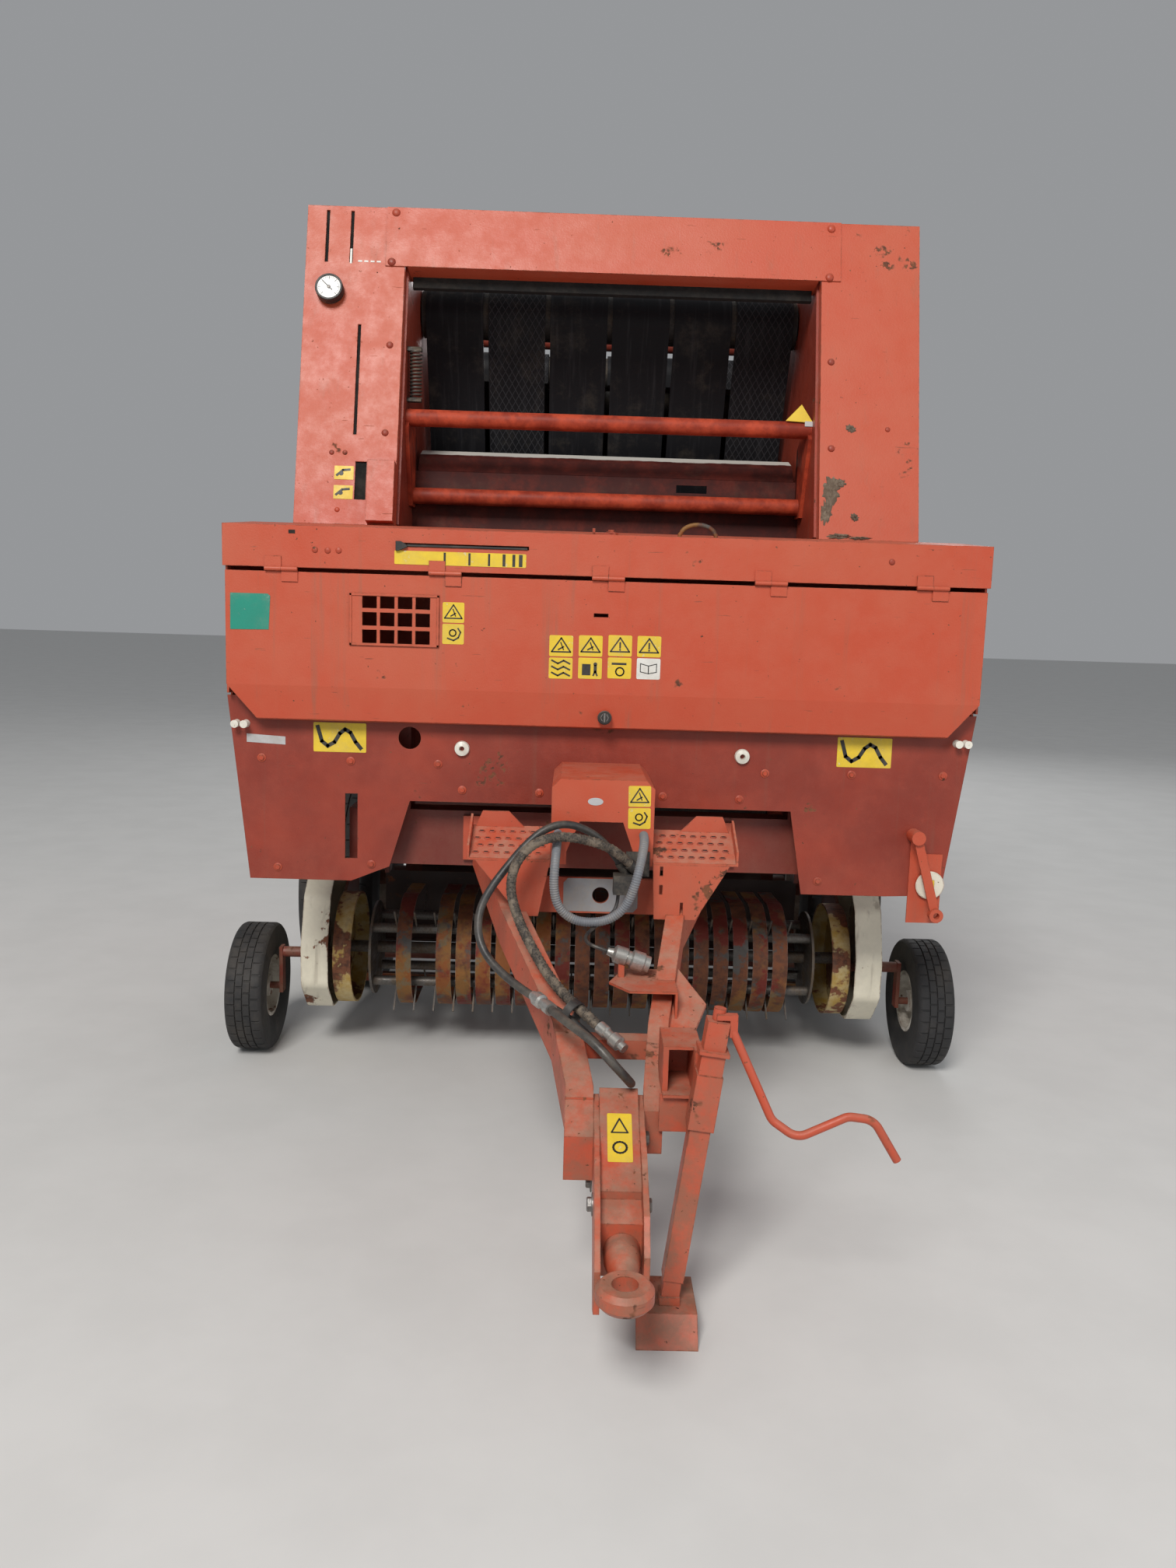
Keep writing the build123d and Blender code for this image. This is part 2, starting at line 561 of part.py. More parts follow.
# Pressure gauge on the left post
GAUGE_DIAL = (-862, 2463)
with BuildPart() as pressure_gauge:
    dial_up = (GAUGE_DIAL[1] - PORTAL_LOW[1]) * PORTAL_LONG / (PORTAL_TOP[1] - PORTAL_LOW[1])
    dial_at = portal_plane.from_local_coords((GAUGE_DIAL[0], dial_up, FIT))
    out = portal_normal.normalized()
    turned([(0, 0), (36, 0), (42, 6), (42, 30), (38, 34), (36, 30), (0, 30)], tuple(dial_at), tuple(out))
finish(pressure_gauge, "pressure_gauge")

# Twine box: header channel, sloping deck, floor, back and ends
SCALE_SLOT = ((-571, -221), (1680, 1690))
with BuildPart() as twine_box:
    block((-BOX_HALF, BOX_FRONT, HEADER_LOW_Z), (BOX_HALF, BOX_FRONT + SHEET, HEADER_TOP_Z))
    block((-BOX_HALF, BOX_FRONT, HEADER_LOW_Z), (BOX_HALF, BOX_FRONT + HEADER_DEEP, HEADER_LOW_Z + SHEET))
    (slot_left, slot_right), (slot_low, slot_high) = SCALE_SLOT
    block((slot_left, BOX_FRONT - 1, slot_low), (slot_right, BOX_FRONT + SHEET + 1, slot_high), mode=Mode.SUBTRACT)
    deck_z = PORTAL_LOW[1] - FIT
    deck = [(BOX_FRONT, HEADER_TOP_Z - SHEET), (PORTAL_LOW[0], deck_z - SHEET), (BOX_BACK, deck_z - SHEET),
            (BOX_BACK, deck_z), (PORTAL_LOW[0], deck_z), (BOX_FRONT, HEADER_TOP_Z)]
    slab(deck, -BOX_HALF, BOX_HALF)
    block((-BOX_HALF, BOX_FRONT + 90, BOX_LOW_Z), (BOX_HALF, BOX_BACK, BOX_LOW_Z + SHEET))
    block((-BOX_HALF, BOX_BACK - SHEET, BOX_LOW_Z), (BOX_HALF, BOX_BACK, PORTAL_LOW[1] - 4))
    box_mouth = BOX_FRONT + DOOR_THICK + 6
    box_end = [(box_mouth, HEADER_TOP_Z - 10), (box_mouth, APRON_TOP_Z + 8), (APRON_FRONT + SHEET + FIT, APRON_TOP_Z + 8),
               (APRON_FRONT + SHEET + FIT, BOX_LOW_Z), (BOX_BACK, BOX_LOW_Z), (BOX_BACK, HEADER_TOP_Z - 10)]
    for _, side in SIDES:
        side_slab(box_end, BOX_HALF - SHEET, BOX_HALF, side)
    for x in BOX_HINGES:
        block((x - 45, BOX_FRONT - KNUCKLE_LEAF, BOX_HINGE_Z), (x, BOX_FRONT, BOX_HINGE_Z + 34))
        cross_rod(BOX_FRONT - KNUCKLE_R, BOX_HINGE_Z, KNUCKLE_R, x - 45, x)
finish(twine_box, "twine_box")

# Front door: a folded sheet hung below the header, with a grille, a slot and a knob
DOOR_TOP_Z = HEADER_LOW_Z - 12
DOOR_FACE = [(-DOOR_LIP_HALF, DOOR_LOW_Z), (DOOR_LIP_HALF, DOOR_LOW_Z), (DOOR_HALF, DOOR_FOLD_Z),
             (DOOR_HALF, DOOR_TOP_Z), (-DOOR_HALF, DOOR_TOP_Z), (-DOOR_HALF, DOOR_FOLD_Z)]
DOOR_PROFILE = [(0, DOOR_TOP_Z), (0, DOOR_FOLD_Z), (12, DOOR_LOW_Z + 4), (DOOR_THICK, DOOR_LOW_Z),
                (DOOR_THICK, DOOR_LOW_Z + 4), (12 + DOOR_SHEET, DOOR_LOW_Z + 8), (DOOR_SHEET, DOOR_FOLD_Z),
                (DOOR_SHEET, DOOR_TOP_Z - DOOR_SHEET), (DOOR_THICK, DOOR_TOP_Z - DOOR_SHEET), (DOOR_THICK, DOOR_TOP_Z)]
GRILLE = ((-713, -465), (1407, 1550))
GRILLE_HOLE = (40, 37)
front_plane = Plane(origin=(0, BOX_FRONT, 0), x_dir=(1, 0, 0), z_dir=(0, -1, 0))
grille_left, grille_right = GRILLE[0]
grille_low, grille_high = GRILLE[1]
with BuildPart() as front_door:
    slab([(BOX_FRONT + y, z) for y, z in DOOR_PROFILE], -DOOR_HALF, DOOR_HALF)
    for _, side in SIDES:
        end = [(BOX_FRONT, DOOR_TOP_Z), (BOX_FRONT, DOOR_FOLD_Z), (BOX_FRONT + DOOR_THICK, DOOR_FOLD_Z),
               (BOX_FRONT + DOOR_THICK, DOOR_TOP_Z)]
        side_slab(end, DOOR_HALF - DOOR_SHEET, DOOR_HALF, side)
    slab(DOOR_FACE, -DOOR_THICK - 1, 1, plane=front_plane, mode=Mode.INTERSECT)
    block((grille_left, BOX_FRONT - 3, grille_low), (grille_right, BOX_FRONT + 1, grille_high))
    with Locations(front_plane):
        with Locations(((grille_left + grille_right) / 2 + 5, (grille_low + grille_high) / 2 + 2, 0)):
            with GridLocations(49, 48, 4, 3):
                Box(*GRILLE_HOLE, 20, mode=Mode.SUBTRACT)
    block((-37, BOX_FRONT - 1, 1504), (3, BOX_FRONT + 10, 1514), mode=Mode.SUBTRACT)
    rod((1, BOX_FRONT + 10, 1226), (1, BOX_FRONT - 12, 1226), 20)
    for x in BOX_HINGES:
        block((x + FIT, BOX_FRONT - KNUCKLE_LEAF, BOX_HINGE_Z - 34), (x + 45, BOX_FRONT + 1, BOX_HINGE_Z - 7))
        cross_rod(BOX_FRONT - KNUCKLE_R, BOX_HINGE_Z, KNUCKLE_R, x + FIT, x + 45)
        block((x + FIT, BOX_FRONT - KNUCKLE_LEAF, BOX_HINGE_Z - 8), (x + 45, BOX_FRONT - 1, BOX_HINGE_Z))
finish(front_door, "front_door")

# Apron: the sheet below the twine box, cut out over the drawbar
APRON = [(-APRON_HALF, APRON_TOP_Z), (60 - APRON_HALF, 725), (-718, 725), (-608, 770), (-550, 964), (-60, 964),
         (-60, 1025), (60, 1025), (60, 964), (550, 964), (593, 720), (837, 720), (APRON_HALF - 69, 727),
         (APRON_HALF, APRON_TOP_Z)]
APRON_SLOT = ((-736, 791), (-700, 981))
APRON_HOLE = (-552, 1146, 32)
apron_plane = Plane(origin=(0, APRON_FRONT, 0), x_dir=(1, 0, 0), z_dir=(0, -1, 0))
with BuildPart() as apron:
    slab(APRON, -SHEET, 0, plane=apron_plane)
    (slot_left, slot_low), (slot_right, slot_high) = APRON_SLOT
    block((slot_left, APRON_FRONT - 1, slot_low), (slot_right, APRON_FRONT + SHEET + 1, slot_high), mode=Mode.SUBTRACT)
    hole_x, hole_z, hole_r = APRON_HOLE
    rod((hole_x, APRON_FRONT - 1, hole_z), (hole_x, APRON_FRONT + SHEET + 1, hole_z), hole_r, mode=Mode.SUBTRACT)
    block((7 - BOX_HALF, APRON_FRONT + SHEET, 1190), (BOX_HALF - 7, BOX_FRONT + 90 - FIT, 1206))
finish(apron, "apron")

# Twine guides on the apron: two porcelain rings, and a pair of small rollers near each end
with BuildPart() as twine_guides:
    for _, side in SIDES:
        ring = [(6, 0), (22, 0), (20, 10), (8, 14)]
        turned(ring, (side * 402, APRON_FRONT - FIT, 1120), (0, -1, 0))
        for shift in (-13, 13):
            roller = [(0, 0), (11, 0), (7, 15), (11, 30), (0, 30)]
            turned(roller, (side * (BOX_HALF - 32) + shift, APRON_FRONT - FIT, 1175), (0, -1, 0))
finish(twine_guides, "twine_guides")

# Feed crank at the right of the apron: a plate with a disc, and a lever with an eye
FEED_BOSS = (911, 905)
FEED_EYE = (977, 679)
with BuildPart() as feed_crank:
    face_y = APRON_FRONT - FIT
    block((905, face_y - 4, 645), (1000, face_y, 850))
    rod((965, face_y - 4, 760), (965, face_y - 14, 760), 42)
    rod((FEED_BOSS[0], face_y, FEED_BOSS[1]), (FEED_BOSS[0], face_y - 60, FEED_BOSS[1]), 20)
    rod((FEED_EYE[0], face_y - 34, FEED_EYE[1]), (FEED_EYE[0], face_y - 58, FEED_EYE[1]), 20)
    beam((FEED_BOSS[0], face_y - 46, FEED_BOSS[1]), (FEED_EYE[0], face_y - 46, FEED_EYE[1]), 8, 26)
    rod((FEED_EYE[0], face_y - 30, FEED_EYE[1]), (FEED_EYE[0], face_y - 60, FEED_EYE[1]), 9, mode=Mode.SUBTRACT)
    block((905, face_y - 4, 845), (925, face_y, 905))
finish(feed_crank, "feed_crank")

# Guard over the drive shaft: a hood with an arch in its front
HOOD = (-136, 130)
HOOD_FRONT = -895
HOOD_LOW_Z = 866
with BuildPart() as pto_guard:
    hood_outline = [(HOOD[0], HOOD_LOW_Z), (HOOD[1], HOOD_LOW_Z), (HOOD[1], 1068), (HOOD[1] - 22, 1090),
                    (HOOD[0] + 22, 1090), (HOOD[0], 1068)]
    hood_plane = Plane(origin=(0, HOOD_FRONT, 0), x_dir=(1, 0, 0), z_dir=(0, -1, 0))
    hood_back = APRON_FRONT - HOOD_FRONT - FIT
    slab(hood_outline, -hood_back, 0, plane=hood_plane)
    inner = [(HOOD[0] + 5, HOOD_LOW_Z - 20), (HOOD[1] - 5, HOOD_LOW_Z - 20), (HOOD[1] - 5, 1066), (HOOD[1] - 24, 1085),
             (HOOD[0] + 24, 1085), (HOOD[0] + 5, 1066)]
    slab(inner, -hood_back - 1, -5, plane=hood_plane, mode=Mode.SUBTRACT)
    arch = [(-95, HOOD_LOW_Z - 20), (79, HOOD_LOW_Z - 20), (79, 900), (50, 980), (-62, 980), (-95, 900)]
    slab(arch, -20, 10, plane=hood_plane, mode=Mode.SUBTRACT)
finish(pto_guard, "pto_guard")

# Hose block: a clamp below the hood with a sleeve for each hose, and the hoses, conduit and cable that leave it
BLACK_ROUTE = [(42, -914, 880), (12, -926, 925), (-41, -944, 968), (-99, -956, 986), (-151, -970, 972),
               (-196, -985, 934), (-238, -1000, 884), (-277, -1020, 833), (-306, -1042, 780), (-308, -1068, 722),
               (-284, -1100, 676), (-238, -1140, 642), (-189, -1185, 620), (-135, -1240, 606), (-83, -1285, 592),
               (-18, -1336, 552), (44, -1386, 498), (64, -1442, 495), (53, -1493, 525), (16, -1509, 570),
               (-25, -1479, 605), (-78, -1418, 622), (-118, -1352, 630)]
WORN_ROUTE = [(68, -930, 880), (32, -950, 916), (-18, -972, 940), (-78, -988, 956), (-136, -1003, 958),
              (-188, -1014, 934), (-222, -1024, 890), (-232, -1038, 835), (-217, -1058, 781), (-192, -1092, 735),
              (-164, -1130, 696), (-134, -1178, 662), (-98, -1232, 634), (-56, -1284, 612), (-8, -1332, 586)]
CONDUIT_ROUTE = [(-118, HOOD_FRONT - FIT, 948), (-118, -945, 948), (-120, -988, 921), (-123, -1013, 878),
                 (-124, -1015, 828), (-112, -1012, 780), (-76, -1006, 748), (-29, -1003, 740), (20, -1005, 750),
                 (58, -1010, 784), (76, -1015, 830), (88, -1013, 878), (98, -988, 921), (104, -945, 948),
                 (104, HOOD_FRONT - FIT, 948)]
CABLE_ROUTE = [(42, -922, 800 - FIT), (42, -922, 762), (14, -950, 740), (-22, -1000, 726), (-42, -1042, 717),
               (-40, -1079, 712), tuple(Vector(*PLUG_AT) - PLUG_WAY * 34), PLUG_AT]


def step_out(route):
    """The direction in which a route sets out."""
    return (Vector(*route[1]) - Vector(*route[0])).normalized()


with BuildPart() as hose_block:
    block(*HOSE_BLOCK)
    block((60, HOOD_FRONT - FIT - 4, 840), (122, HOOD_FRONT - FIT, 905))
    for route, diameter in ((BLACK_ROUTE, BLACK_HOSE), (WORN_ROUTE, WORN_HOSE)):
        start = Vector(*route[0]) - step_out(route) * FIT
        rod(tuple(start - step_out(route) * 40), tuple(start), diameter / 2 + 3)
finish(hose_block, "hose_block")

with BuildPart() as hose_black:
    cord(BLACK_ROUTE, BLACK_HOSE)
finish(hose_black, "hose_black")

with BuildPart() as hose_worn:
    cord(WORN_ROUTE, WORN_HOSE)
finish(hose_worn, "hose_worn")

with BuildPart() as conduit:
    cord(CONDUIT_ROUTE, CONDUIT)
finish(conduit, "conduit")

with BuildPart() as plug_cable:
    cord(CABLE_ROUTE, CABLE)
finish(plug_cable, "plug_cable")

# Couplers: the plug on the cable and the quick couplers on the hoses' ends, radius and distance along
PLUG_SHAPE = [(0, 0), (9, 0), (12, 14), (PLUG_R, 20), (PLUG_R, 48), (18, 52), (18, 60), (24, 64), (24, 92), (20, 96), (20, 108),
              (0, 108)]
COUPLER_SHAPE = [(0, 0), (15, 0), (15, 22), (12, 26), (12, 40), (17, 44), (17, 66), (11, 70), (11, 84), (0, 84)]
with BuildPart() as couplers:
    turned(PLUG_SHAPE, tuple(Vector(*PLUG_AT) + PLUG_WAY * FIT), tuple(PLUG_WAY))
    for route in (BLACK_ROUTE, WORN_ROUTE):
        way = (Vector(*route[-1]) - Vector(*route[-2])).normalized()
        turned(COUPLER_SHAPE, tuple(Vector(*route[-1]) + way * FIT), tuple(way))
finish(couplers, "couplers")

# Gearbox with its input neck and splined stub
with BuildPart() as gearbox:
    block((-140, -340, 800), (140, -180, 1080))
    cross_rod(-260, 940, 30, -WALL_OUT - 40, 140)
    rod((0, -340, SHAFT_Z), (0, -600, SHAFT_Z), NECK_R)
    rod((0, -600, SHAFT_Z), (0, SHAFT_TIP_Y, SHAFT_Z), SHAFT_R)
    block((-130, CROSS_Y[1] + FIT, CROSS_Z[0]), (130, -300, 800))
finish(gearbox, "gearbox")

# Steps either side of the guard: a sloping tread with a turned-up end, on a front plate that stands on the arm
TREAD_FRONT = (-910, 875)
TREAD_BACK = (-790, 940)
# Front plates: X and Z of their corners, the low ones cut by the arms
STEP_FRONTS = (
    [(-330, 875), (HOOD[0] - FIT, 875), (-164, 730), (-212, 730)],
    [(330, 875), (HOOD[1] + FIT, 875), (137, 730), (245, 730)],
)
STEP_SLOTS = ((149, 157, 845, 870), (149, 157, 796, 821), (204, 212, 740, 776))
with BuildPart() as steps:
    front_face = Plane(origin=(0, TREAD_FRONT[0] + 6, 0), x_dir=(1, 0, 0), z_dir=(0, -1, 0))
    tread = [TREAD_FRONT, TREAD_BACK, (TREAD_BACK[0], TREAD_BACK[1] + 6), (TREAD_FRONT[0], TREAD_FRONT[1] + 6)]
    upturn = [TREAD_FRONT, TREAD_BACK, (TREAD_BACK[0], TREAD_BACK[1] + 36), (TREAD_FRONT[0], TREAD_FRONT[1] + 38)]
    for outline, hood_side in zip(STEP_FRONTS, HOOD):
        side = 1 if hood_side > 0 else -1
        inner = side * hood_side + FIT
        slab(outline, 0, 6, plane=front_face)
        side_slab(tread, inner, 345, side)
        side_slab(upturn, 345, 351, side)
        hanger = [(side * 205, TREAD_BACK[1]), (side * 340, TREAD_BACK[1]), (side * 320, 985), (side * 250, 985)]
        slab(hanger, -6, 0, plane=Plane(origin=(0, TREAD_BACK[0] - 6, 0), x_dir=(1, 0, 0), z_dir=(0, -1, 0)))
    for x_low, x_high, z_low, z_high in STEP_SLOTS:
        block((x_low, TREAD_FRONT[0] - 10, z_low), (x_high, TREAD_FRONT[0] + 10, z_high), mode=Mode.SUBTRACT)
    cut_arms()
finish(steps, "steps")

# Net unit: two cross tubes, the curved guide sheet and the panel under it
with BuildPart() as net_unit:
    tube_end = CHAMBER_HALF - FIT
    cross_rod(-95, 2102, 26, -tube_end, tube_end)
    cross_rod(5, 1875, 26, -tube_end, tube_end)
    strip([(60, 1960), (105, 2015), (180, 2040), (260, 2035)], [30, 60], 4, -614, 614)
    block((-tube_end, 56, 1780), (tube_end, 62, 1960))
    block((230, 50, 1915), (330, 68, 1940), mode=Mode.SUBTRACT)
    for _, side in SIDES:
        cheek = [(-130, 2070), (-60, 2140), (60, 2060), (70, 1840), (-30, 1840)]
        side_slab(cheek, CHAMBER_HALF - 12, CHAMBER_HALF - FIT, side)
finish(net_unit, "net_unit")

# Front rollers and belts
# Y, Z and radius of each roller, then +1 where the belts pass on its left along their way down, else -1
FRONT_ROLLERS = ((280, 2500, 75, -1), (640, 1700, 60, -1), (430, 800, 100, 1))
FLOOR_ROLLER = (760, 650, 80)
with BuildPart() as front_rollers:
    for y, z, r, *_ in (*FRONT_ROLLERS, FLOOR_ROLLER):
        cross_rod(y, z, r, -CHAMBER_HALF + 5, CHAMBER_HALF - 5)
        cross_rod(y, z, 18, -CHAMBER_HALF + FIT, CHAMBER_HALF - FIT)
finish(front_rollers, "front_rollers")

belt_starts = [(i - (BELT_COUNT - 1) / 2) * BELT_PITCH - BELT_WIDE / 2 for i in range(BELT_COUNT)]
with BuildPart() as front_belts:
    for x_low in belt_starts:
        belt(FRONT_ROLLERS, *FRONT_BELT_ENDS, x_low)
finish(front_belts, "front_belts")

# Chain drives in the gaps between the walls and the side beams: side, then Y, Z and radius of two sprockets
CHAINS = ((-1, (-260, 940, 50), (430, 800, 85)), (1, (430, 800, 60), (760, 650, 60)))
with BuildPart() as chain_drive:
    for side, first, second in CHAINS:
        low, high = sorted((side * (WALL_OUT + 4), side * (BEAM_IN - 4)))
        loop(first, second, 8, low, high)
        for y, z, r in (first, second):
            hub_ends = sorted((side * (WALL_OUT + FIT), side * (BEAM_IN - 4)))
            cross_rod(y, z, r - 4, *sorted((side * (WALL_OUT + 8), side * (WALL_OUT + 13))))
            cross_rod(y, z, 40, *hub_ends)
    cross_rod(-260, 940, 30 + FIT, -BEAM_IN, -WALL_OUT, mode=Mode.SUBTRACT)
finish(chain_drive, "chain_drive")

# Side doors, hung from the side panels on upright hinges
for name, side in SIDES:
    with BuildPart() as side_door:
        outline = [(DOOR_HINGE_Y + 6, COVER_LOW_Z), (split_y(COVER_LOW_Z) - 12, COVER_LOW_Z),
                   (split_y(COVER_TOP_Z) - 12, COVER_TOP_Z), (DOOR_HINGE_Y + 6, COVER_TOP_Z)]
        pan(outline, COVER_OUT - COVER_DEEP, COVER_OUT, COVER_SHEET, side)
        for z in (COVER_LOW_Z + 420, COVER_TOP_Z - 420):
            side_slab([(DOOR_HINGE_Y + 70, z), (split_y(z) - 90, z), (split_y(z) - 110, z + 60),
                       (DOOR_HINGE_Y + 90, z + 60)], COVER_OUT - 1, COVER_OUT + 6, side)
        for z in SIDE_HINGES:
            knuckle(side, z + FIT, z + 45, DOOR_HINGE_Y, DOOR_HINGE_Y + 36)
    finish(side_door, f"side_door_{name}")

# Tailgate walls with their hinge ears
TAIL_WALL = [(625, 2545), (split_y(550) + SPLIT_GAP, 550), (1230, 480), (1660, 600), (1900, 1130), (REAR_Y, 1450),
             (1930, 1760), (1500, 2430), (1100, 2600), (660, 2630)]
for name, side in SIDES:
    with BuildPart() as tailgate_wall:
        side_slab(TAIL_WALL, CHAMBER_HALF, WALL_OUT, side)
        ear = [(560, 2570), (600, 2550), (760, 2480), (860, 2560), (760, 2615), (600, 2650), (565, 2635)]
        side_slab(ear, WALL_OUT + 12, WALL_OUT + 26, side)
        side_slab([(680, 2520), (760, 2490), (840, 2555), (690, 2600)], WALL_OUT, WALL_OUT + 12, side)
        lug_ends = sorted((side * WALL_OUT, side * (CYLINDER_X - EYE_HALF - FIT)))
        cross_rod(*CYLINDER_HEAD, 30, *lug_ends)
        bore_ends = sorted((side * (WALL_OUT + 10), side * (WALL_OUT + 30)))
        cross_rod(PIVOT_Y, PIVOT_Z, PIVOT_PIN_R + FIT, *bore_ends, mode=Mode.SUBTRACT)
    finish(tailgate_wall, f"tailgate_wall_{name}")

# Tailgate cross tubes between the walls and the arms that carry the shields
with BuildPart() as tailgate_beams:
    for y, z, r in ((1420, 560, 22), (950, 2570, 25), (1860, 1780, 28)):
        cross_rod(y, z, r, -CHAMBER_HALF + FIT, CHAMBER_HALF - FIT)
    for _, side in SIDES:
        for y, z in ((1800, 1300), (1450, 2250), (1300, 1060)):
            ends = sorted((side * (WALL_OUT + FIT), side * (COVER_OUT - COVER_SHEET - FIT)))
            cross_rod(y, z, 20, *ends)
finish(tailgate_beams, "tailgate_beams")

TAIL_ROLLERS = ((1240, 630, 80, -1), (1580, 760, 65, -1), (1800, 1400, 65, -1), (1520, 2120, 65, -1),
                (1150, 2400, 70, -1), (820, 2430, 60, -1))
with BuildPart() as tailgate_rollers:
    for y, z, r, _ in TAIL_ROLLERS:
        cross_rod(y, z, r, -CHAMBER_HALF + 5, CHAMBER_HALF - 5)
        cross_rod(y, z, 18, -CHAMBER_HALF + FIT, CHAMBER_HALF - FIT)
finish(tailgate_rollers, "tailgate_rollers")

with BuildPart() as tailgate_belts:
    for x_low in belt_starts:
        belt(TAIL_ROLLERS, *TAIL_BELT_ENDS, x_low)
finish(tailgate_belts, "tailgate_belts")

# Tailgate shields: outer side covers
SHIELD = [(split_y(COVER_LOW_Z) + 12, COVER_LOW_Z), (1740, COVER_LOW_Z),
          (1890, 1200), (1940, 1500), (1910, 1800), (1500, COVER_TOP_Z - 80), (1200, SHIELD_TOP_Z),
          (split_y(SHIELD_TOP_Z) + 12, SHIELD_TOP_Z)]
with BuildPart() as tailgate_shields:
    for _, side in SIDES:
        pan(SHIELD, COVER_OUT - COVER_DEEP, COVER_OUT, COVER_SHEET, side, radius=45)
        side_slab([(1250, 1240), (1680, 1240), (1740, 1500), (1680, 1720), (1250, 1720)], COVER_OUT - 1,
                  COVER_OUT + 6, side)
finish(tailgate_shields, "tailgate_shields")

# Tailgate cylinders, each a barrel on the chamber wall and a rod that lifts the tailgate
cylinder_run = Vector(0, CYLINDER_HEAD[0] - CYLINDER_FOOT[0], CYLINDER_HEAD[1] - CYLINDER_FOOT[1])
cylinder_way = cylinder_run.normalized()
for name, side in SIDES:
    foot = Vector(side * CYLINDER_X, *CYLINDER_FOOT)
    head = Vector(side * CYLINDER_X, *CYLINDER_HEAD)
    with BuildPart() as cylinder_barrel:
        rod(tuple(foot), tuple(foot + cylinder_way * BARREL_LONG), BARREL_R)
        ends = sorted((side * (CYLINDER_X - EYE_HALF), side * (CYLINDER_X + EYE_HALF)))
        side_block(WALL_OUT + FIT, CYLINDER_X - EYE_HALF, (CYLINDER_FOOT[0] - 60, CYLINDER_FOOT[0] + 60),
                   (CYLINDER_FOOT[1] - 60, CYLINDER_FOOT[1] + 60), side, mode=Mode.SUBTRACT)
        side_block(CYLINDER_X + EYE_HALF, CYLINDER_X + 60, (CYLINDER_FOOT[0] - 60, CYLINDER_FOOT[0] + 60),
                   (CYLINDER_FOOT[1] - 60, CYLINDER_FOOT[1] + 60), side, mode=Mode.SUBTRACT)
        cross_rod(*CYLINDER_FOOT, BARREL_R, *ends)
        cross_rod(*CYLINDER_FOOT, CYLINDER_PIN_R + FIT, *ends, mode=Mode.SUBTRACT)
        rod(tuple(foot + cylinder_way * 80), tuple(foot + cylinder_way * (BARREL_LONG + 1)), BARREL_BORE_R,
            mode=Mode.SUBTRACT)
    finish(cylinder_barrel, f"cylinder_barrel_{name}")
    with BuildPart() as cylinder_rod:
        rod(tuple(foot + cylinder_way * 140), tuple(head - cylinder_way * 20), 15)
        rod(tuple(foot + cylinder_way * 100), tuple(foot + cylinder_way * 140), BARREL_BORE_R - FIT)
        cross_rod(*CYLINDER_HEAD, 30, *ends)
    finish(cylinder_rod, f"cylinder_rod_{name}")

# Rear lamps on the shields
with BuildPart() as rear_lamps:
    for _, side in SIDES:
        side_block(700, 900, (1840, 1880), (1090, 1190), side)
        side_block(880, COVER_OUT - COVER_DEEP - FIT, (1800, 1845), (1120, 1150), side)
finish(rear_lamps, "rear_lamps")

# Pickup frame: side plates on the hinge pins and a tube behind the bands
with BuildPart() as pickup_frame:
    for _, side in SIDES:
        plate = [(REEL_Y - 60, REEL_Z - 90), (REEL_Y + 120, REEL_Z - 200), (PICKUP_PIVOT_Y + 35, REEL_Z - 200),
                 (PICKUP_PIVOT_Y + 35, PICKUP_PIVOT_Z + 35), (PICKUP_PIVOT_Y - 40, PICKUP_PIVOT_Z + 35),
                 (REEL_Y - 60, REEL_Z + 90)]
        side_slab(plate, PICKUP_PLATE_X, PICKUP_PLATE_X + 10, side)
        bore_ends = sorted((side * (PICKUP_PLATE_X - 2), side * (PICKUP_PLATE_X + 12)))
        cross_rod(PICKUP_PIVOT_Y, PICKUP_PIVOT_Z, PICKUP_PIN_R + FIT, *bore_ends, mode=Mode.SUBTRACT)
        cross_rod(REEL_Y, REEL_Z, 20 + FIT, *bore_ends, mode=Mode.SUBTRACT)
        arm_ends = sorted((side * (PICKUP_PLATE_X + 10), side * (GAUGE_X - GAUGE_WIDE / 2 - 10)))
        cross_rod(GAUGE_Y, GAUGE_R + 120, 18, *arm_ends)
        side_slab([(GAUGE_Y - 20, GAUGE_R + 140), (GAUGE_Y + 20, GAUGE_R + 140), (GAUGE_Y + 20, GAUGE_R - 20),
                   (GAUGE_Y - 20, GAUGE_R - 20)], GAUGE_X - GAUGE_WIDE / 2 - 22, GAUGE_X - GAUGE_WIDE / 2 - 10, side)
        stub_ends = sorted((side * (GAUGE_X - GAUGE_WIDE / 2 - 12), side * (GAUGE_X + STUB_PAST)))
        cross_rod(GAUGE_Y, GAUGE_R, 12, *stub_ends)
    cross_rod(REEL_Y + 268, REEL_Z - 90, 28, -PICKUP_PLATE_X - 1, PICKUP_PLATE_X + 1)
finish(pickup_frame, "pickup_frame")

